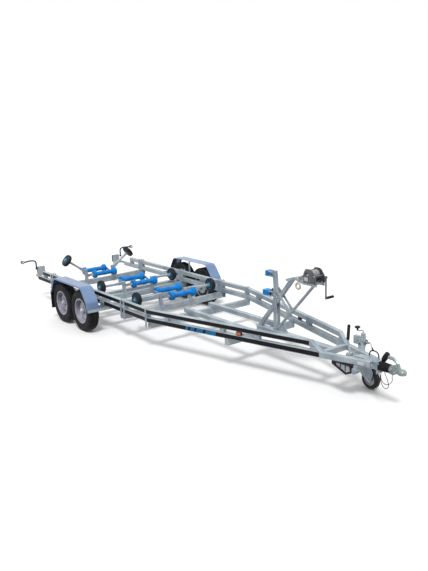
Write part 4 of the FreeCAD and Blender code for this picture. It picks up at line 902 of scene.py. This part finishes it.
def crank_trim():
    """The black ribbed grip of the winch's crank, and the nut that holds its arm."""
    pitch = 13
    ribs = [(0, 4), (0, 12), (3, 15.5)]
    for number in range(7):
        rib = 8 + pitch * number
        ribs += [(rib, 16.5), (rib + 6, 16.5), (rib + 9, 15)]
    ribs += [(106, 16.5), (110, 13), (110, 4)]
    grip = bmesh.new()
    add_turned(grip, ribs, (crank_axis.x, crank_high.y - 112, crank_low.z + 14), ACROSS, 32)
    piece(grip, "crank_grip", BLACK_PLASTIC, body="winch_crank")
    nut = bmesh.new()
    add_bolt(nut, crank_axis + ACROSS * (crank_high.y - 115), ACROSS, 20, 3)
    piece(nut, "crank_nut", body="winch_crank")


def jockey_clamp():
    """Sleeve and clamp box, the lock disc with its spring and toggle, and the crank with its knob."""
    mast = middle("jockey_mast")
    bottom = span("jockey_sleeve")[0].z
    box_foot, box_top, sleeve_top, spring_pitch = 504, 584, 614, 5
    tall = sleeve_top - bottom
    steel = bmesh.new()
    add_turned(steel, [(0, 21), (0, 25), (4, 26), (8, 24), (tall - 16, 24), (tall - 12, 27), (tall, 27),
                       (tall + 4, 22), (tall + 14, 12), (tall + 14, 0), (tall - 24, 0), (tall - 24, 21)],
               (mast.x, mast.y, bottom), UP, 48)
    rear, front, near, far = mast.x - 88, mast.x + 20, rail_face(mast.x) - 8, mast.y - 22
    add_block(steel, (rear, near, box_foot), (front, far, box_top), 4)
    for level in (box_foot - 4, box_top + 4):
        add_block(steel, (rear - 4, near, level - 5), (front + 4, far, level + 5), 2)
    for station in (rear + 3, rear + 38, rear + 66, front - 3):
        add_block(steel, (station - 4, near - 6, box_foot), (station + 4, far, box_top + 2), 1.5)
    add_block(steel, (mast.x - 26, near, lower_high.z - 60), (mast.x + 26, far, 520), 3)
    for level, half, outer in ((560, 22, 30), (478, 16, 29)):
        add_turned(steel, hoop(-half, half, 24, outer), (mast.x, mast.y, level), UP, 40)
    lock = Vector((mast.x + 22, mast.y, 524))
    add_rod(steel, lock, lock + AHEAD * 20, 33, 31, 40, 4)
    add_rod(steel, lock + AHEAD * 20, lock + AHEAD * 27, 17, 15, 32, 2)
    add_rod(steel, lock + AHEAD * 26, lock + AHEAD * 66, 6)
    for number in range(5):
        add_turned(steel, hoop(-1.6, 1.6, 9, 12), lock + AHEAD * (30 + spring_pitch * number), AHEAD, 24)
    bend = lock + AHEAD * 68 + UP * 10
    end = bend + AHEAD * 52 - UP * 84
    add_bent_rod(steel, [bend - AHEAD * 12 - UP * 22, bend - AHEAD * 8, bend + AHEAD * 8,
                         bend + AHEAD * 16 - UP * 20, end], 5.5)
    crank_top = Vector((mast.x, mast.y, sleeve_top + 10))
    knob = Vector((mast.x - 86, mast.y, 660))
    add_bent_rod(steel, [crank_top, crank_top + UP * 22, crank_top + UP * 26 - AHEAD * 14,
                         knob - UP * 26 + AHEAD * 26, knob - UP * 30 + AHEAD * 4, knob - UP * 26, knob], 6.5)
    for level in (522, 568):
        for station in (rear + 20, rear + 52):
            add_bolt(steel, (station, far, level), ACROSS, 16, 8)
    piece(steel, "jockey_clamp", BRIGHT_ZINC, ("jockey_sleeve",))

    black = bmesh.new()
    add_rod(black, knob - UP * 26, knob + UP * 2, 9, 13, 24)
    add_turned(black, [(0, 0), (0, 16), (3, 28), (9, 32), (16, 32), (22, 27), (24, 16), (20, 6), (20, 0)],
               knob, UP, 36)
    add_turned(black, [(18, 18), (18, 29), (21.5, 28), (21.5, 19)], lock, AHEAD, 36)
    way = (end - bend).normalized()
    add_rod(black, end - way * 34, end + way * 6, 8, 9.5, 24, 3)
    piece(black, "jockey_knob", BLACK_PLASTIC)


def jockey_rim():
    """The jockey wheel's rim with five ribs each side, its axle nuts, and the collar over the fork."""
    mast, hub = middle("jockey_mast"), middle("jockey_wheel")
    half = half_size("jockey_wheel").y
    web = half * 0.55
    face = [(half + 0.6, 9), (half + 0.6, 20), (web, 27), (web, 56), (half * 0.94, 62), (half * 0.96, 68),
            (half * 0.8, 69)]
    rim = bmesh.new()
    add_turned(rim, mirrored(face), hub, ACROSS, 48)
    for spoke in spokes(5):
        for turn in BOTH:
            foot = hub + spoke * 22 + ACROSS * turn * (web + 2)
            add_bar(rim, foot, foot + spoke * 38, 10, 8, 2)
    piece(rim, "jockey_rim", RIM_SILVER, body="jockey_wheel")
    axle = bmesh.new()
    fork_low, fork_high = span("jockey_fork")
    for way, face_at in ((-1, fork_low.y), (1, fork_high.y)):
        add_bolt(axle, (hub.x, face_at, hub.z), ACROSS * way, 20, 3)
    add_rod(axle, (mast.x, mast.y, fork_high.z - 22), (mast.x, mast.y, fork_high.z - 14), 30, steps=32)
    piece(axle, "jockey_axle_nuts", body="jockey_fork")


# The hand brake: its pivot, and the middle of the wheel chock under the right rail.
BRAKE_PIVOT = Vector((4533, 0, 438))
chock_offset = RAIL_WIDTH / 2 - rail_face(4575)


def lever_grip():
    """Black ribbed grip on the hand brake lever."""
    pitch = 16
    elbow = BRAKE_PIVOT + Vector((-32, 0, 160))
    tip = Vector((BRAKE_PIVOT.x - 21, 0, span("handbrake_lever")[1].z))
    ribs = [(-8, 5), (-8, 14), (0, 17)]
    for number in range(6):
        rib = 14 + pitch * number
        ribs += [(rib, 17.5), (rib + 8, 17.5), (rib + 12, 15.8)]
    ribs += [(124, 17), (150, 17.5), (162, 15), (168, 8), (169, 0), (150, 0), (150, 5)]
    grip = bmesh.new()
    add_turned(grip, ribs, elbow, tip - elbow, 32)
    piece(grip, "lever_grip", BLACK_PLASTIC, body="handbrake_lever")


def brake_bracket():
    """The lever's bracket across the rails with its bolts, and the boss and core of the chock."""
    half, sheet, station = 40, 6, BRAKE_PIVOT.x
    inside = rail_face(station) - RAIL_WIDTH - 2
    foot = lower_low.z
    bracket = bmesh.new()
    add_block(bracket, (station - half, -inside, foot + 0.5), (station + half, inside, foot + 24), 2)
    cheek = [(station - half, foot + 23), (station + half, foot + 23), (station + 18, foot + 70, 18),
             (station - 18, foot + 70, 18)]
    for side in BOTH:
        add_plate(bracket, cheek, sheet, side * 30, soft=0.8)
        for shift in (-26, 26):
            add_bolt(bracket, (station + shift, side * (inside - 22), foot + 24), UP, 16, 6)
    add_side_bolts(bracket, station, 48, BRAKE_PIVOT.z, 17, 3)
    boss = Vector((4729, -133, 330))
    boss_half = ACROSS * 37
    add_rod(bracket, boss - boss_half, boss + boss_half, 35, steps=40, soft=4)
    add_rod(bracket, boss - boss_half - ACROSS * 8, boss - boss_half, 17, 14, 32)
    add_block(bracket, boss - Vector((20, 20, 0)), boss + Vector((20, 20, 56)), 4)
    core = [(4452, 384), (4690, 384), (4700, 306), (4620, 276), (4452, 340)]
    add_plate(bracket, core, 58, chock_offset)
    piece(bracket, "brake_bracket", GALVANISED, ("handbrake_bracket",))


def wheel_chock():
    """The black wheel chock with its recess and two ribs."""
    outline = [(4424, 385.5, 12), (4700, 385.5, 8), (4712, 302, 20), (4622, 262, 26), (4424, 338, 16)]
    recess = [(4480, 369, 6), (4676, 369, 8), (4686, 314, 14), (4622, 286, 18), (4480, 340, 8)]
    chock = bmesh.new()
    add_plate(chock, outline, 75, chock_offset, (recess,), 2)
    for station in (4540, 4610):
        add_block(chock, (station, chock_offset - 34, 300), (station + 8, chock_offset + 34, 371), 1)
    piece(chock, "wheel_chock", BLACK_PLASTIC)


# The coupling: the radius of its cup, and the height of the overrun's axis.
CUP_RADIUS = 46
head_low, head_high = span("coupling_head")
overrun_axis = head_low.z + 50


def coupling():
    """Cast coupling head with its cup, its bolts, and the rounded handle on top."""
    rear, nose, axis = head_low.x, head_high.x - CUP_RADIUS, overrun_axis
    cast = bmesh.new()
    body = [(rear, axis + 40, 12), (rear, axis - 44, 12), (nose - 90, axis - 48, 20),
            (nose - 44, axis - 22, 14), (nose, axis - 22, 6), (nose, axis + 25, 8),
            (nose - 60, axis + 34, 20), (nose - 88, axis + 46, 16)]
    add_plate(cast, body, 54, 0, soft=5)
    dome = [(-24, 26), (-24, 44), (-18, 46), (6, 46), (18, 42), (26, 32), (30, 18), (31, 0), (22, 0),
            (18, 20), (8, 26)]
    add_turned(cast, dome, (nose, 0, axis), UP, 56)
    add_turned(cast, [(-6, 26), (-6, 40), (20, 40), (26, 34), (26, 26)], (rear, 0, axis), AHEAD, 40)
    ears = [(nose - 116, axis + 30), (nose - 30, axis + 20), (nose - 40, axis + 54, 14),
            (nose - 84, axis + 66, 14)]
    add_plate(cast, ears, 38, 0, soft=3)
    piece(cast, "coupling_casting", COUPLING_ZINC, ("coupling_head",))

    fixings = bmesh.new()
    for station, level in ((rear + 26, axis + 12), (rear + 72, axis - 16)):
        add_side_bolts(fixings, station, 27, level, 20, 7)
    add_side_bolts(fixings, nose - 58, 19, axis + 46, 14, 2)
    piece(fixings, "coupling_bolts")

    handle = bmesh.new()
    end = Vector((nose - 158, 0, axis + 120))
    add_bent_rod(handle, [(nose - 38, 0, axis + 18), (nose - 40, 0, axis + 50), (nose - 52, 0, axis + 80),
                          (nose - 92, 0, axis + 106), (nose - 128, 0, axis + 118), end], 16)
    add_rod(handle, end + Vector((50, 0, -2)), end + Vector((-12, 0, 2)), 18, 20, 28, 4)
    piece(handle, "coupling_lever", COUPLING_ZINC, ("coupling_handle",))


def folded_bellows():
    """Seven folds between the overrun's face and the coupling, getting smaller ahead."""
    low, high = span("bellows")
    count = 7
    long = high.x - low.x
    folds = [(0, 20), (0, 50)]
    for number in range(count):
        share = (number + 0.5) / count
        crest = 54 - 8 * share
        folds += [((share - 0.04) * long, crest), ((share + 0.04) * long, crest),
                  ((share + 0.07) * long, 42 - 5 * share)]
    boot = bmesh.new()
    add_turned(boot, folds + [(long - 1, 40), (long - 1, 20)], (low.x, 0, overrun_axis), AHEAD, 48)
    piece(boot, "folded_bellows", BLACK_RUBBER, ("bellows",))


def trailer_plug():
    """The black ribbed plug, which leans ahead beside the overrun's middle."""
    foot = Vector((4950, 34, 452))
    shape = [(10, 4), (10, 17), (20, 26), (24, 29), (44, 30), (47, 27.5), (50, 30), (66, 30), (69, 27.5),
             (72, 30), (92, 29.5), (100, 27), (112, 29), (120, 25), (123, 14), (123, 4)]
    plug = bmesh.new()
    add_turned(plug, shape, foot, AHEAD + UP * 1.6, 36)
    piece(plug, "trailer_plug", BLACK_PLASTIC)


def nose_trim():
    """A blank plate on the right rail near the nose, and small bolts on the overrun's face plate."""
    overrun_face, face_levels, rail_level = 4950, (348, 440), 420
    bm = bmesh.new()
    add_ribbon(bm, -1, 4742, 4812, lower_low.z + 14, lower_high.z - 16, 1)
    piece(bm, "blank_nose_plate", BLANK_LABEL)
    bolts = bmesh.new()
    for offset in (-44, 44):
        for level in face_levels:
            add_bolt(bolts, (overrun_face, offset, level), AHEAD, 16, 5)
    for station in (4830, 4905):
        add_side_bolts(bolts, station, rail_face(station), rail_level, 17, 5)
    piece(bolts, "overrun_bolts")


def rear_lamps():
    """Lamp lenses in three colours with a red reflector, and the outline markers on bent arms."""
    low, high = span("rear_lamps")
    inner, lamp_width = 699, 136
    red, amber, clear, arms = bmesh.new(), bmesh.new(), bmesh.new(), bmesh.new()
    for side in BOTH:
        left = min(side * inner, side * (inner + lamp_width))
        for finish, start, end in ((amber, 0.05, 0.33), (red, 0.37, 0.68), (clear, 0.72, 0.95)):
            add_block(finish, (low.x - 4, left + lamp_width * start, low.z + 56),
                      (low.x + 8, left + lamp_width * end, high.z - 8), 2)
        reflector = [(low.x - 3, low.z + 10), (low.x + 3, low.z + 10), (low.x + 3, low.z + 48),
                     (low.x - 3, low.z + 48)]
        add_plate(red, reflector, 60, left + lamp_width / 2, soft=1)
    low, high = span("outline_markers")
    glass = [(0, 0), (0, 22), (21, 22), (25, 16), (26, 0)]
    for side in BOTH:
        out = side * ACROSS
        head = Vector(((low.x + high.x) / 2, side * (high.y - 38), high.z - 44))
        root = Vector((head.x, side * 862, 556))
        add_bent_rod(arms, [root, root + UP * 70, root + UP * 112, root + UP * 142 + out * 20,
                            head - out * 150 + UP * 12, head - out * 60, head], 12.5)
        add_block(arms, root - Vector((14, 16, 18)), root + Vector((14, 16, 8)), 3)
        add_turned(clear, glass, head, AHEAD, 32)
        add_turned(red, glass, head, -AHEAD, 32)
        add_turned(arms, hoop(-21, 21, 20, 28), head, AHEAD, 36)
    piece(amber, "indicator_lenses", LAMP_AMBER)
    piece(red, "red_lenses", LAMP_RED)
    piece(clear, "clear_lenses", LAMP_CLEAR)
    piece(arms, "marker_arms", BLACK_RUBBER, ("outline_markers",))


# The light: the floor's size, how strong the world shines below and above and the heights between
# which that changes, and the sun's strength, width and direction.
FLOOR_SIZE = 40
WORLD_LOW, WORLD_HIGH = 0.12, 0.85
WORLD_FROM, WORLD_TO = -0.3, 0.8
SUN_STRENGTH = 2.0
SUN_WIDTH = math.radians(14)
SUN_FROM = Vector((0.42, -0.34, 0.84))


def floor():
    """A pale floor that keeps the shadow, and doesn't light the trailer or show in it."""
    bm = bmesh.new()
    bmesh.ops.create_grid(bm, x_segments=1, y_segments=1, size=FLOOR_SIZE)
    mesh = bpy.data.meshes.new("floor")
    bm.to_mesh(mesh)
    bm.free()
    mesh.materials.append(Finish("pale_floor", (0.9, 0.9, 0.9), 0.9).material)
    ground = put("floor", mesh)
    ground.visible_diffuse = False
    ground.visible_glossy = False


def daylight():
    """A world that looks white but gives less light from below, and a soft sun."""
    bpy.context.scene.view_settings.view_transform = "Standard"
    world = bpy.data.worlds.new("studio")
    world.use_nodes = True
    tree = world.node_tree
    sky = add_node(tree, "TexCoord", {}).outputs["Generated"]
    height = add_node(tree, "SeparateXYZ", {"Vector": sky}).outputs["Z"]
    dome = add_node(tree, "MapRange", {"Value": height, "From Min": WORLD_FROM, "From Max": WORLD_TO,
                                       "To Min": WORLD_LOW, "To Max": WORLD_HIGH})
    strength = dome.outputs["Result"]
    path = add_node(tree, "LightPath", {})
    for ray in ("Is Camera Ray", "Is Glossy Ray", "Is Transmission Ray"):
        brighter = add_node(tree, "Math", {0: path.outputs[ray], 1: strength}, operation="MAXIMUM")
        strength = brighter.outputs[0]
    feed(tree, tree.nodes["Background"], {"Color": (1, 1, 1, 1), "Strength": strength})
    bpy.context.scene.world = world
    sun = put("sun", bpy.data.lights.new("sun", "SUN"))
    sun.data.energy = SUN_STRENGTH
    sun.data.angle = SUN_WIDTH
    sun.rotation_euler = SUN_FROM.to_track_quat("Z", "Y").to_euler()


node_finishes()
rail_stripes()
for row in ROWS:
    for side_name, side in SIDES:
        road_tyre(row, side_name, side)
        wheel_trim(row, side_name, side)
for cradle in CRADLES:
    cradle_nuts(cradle)
    for place in ("back", "fore"):
        keel_roller(cradle, place)
    for side_name, side in SIDES:
        side_wheel_hub(cradle, side_name)
clamp_bolts()
crossbeam_bolts()
axle_hangers()
fender_bolts()
side_markers()
bow_stop_trim()
winch_cheeks()
winch_gears()
winch_strap()
winch_label()
crank_trim()
jockey_clamp()
jockey_rim()
lever_grip()
brake_bracket()
wheel_chock()
coupling()
folded_bellows()
trailer_plug()
nose_trim()
rear_lamps()
floor()
daylight()
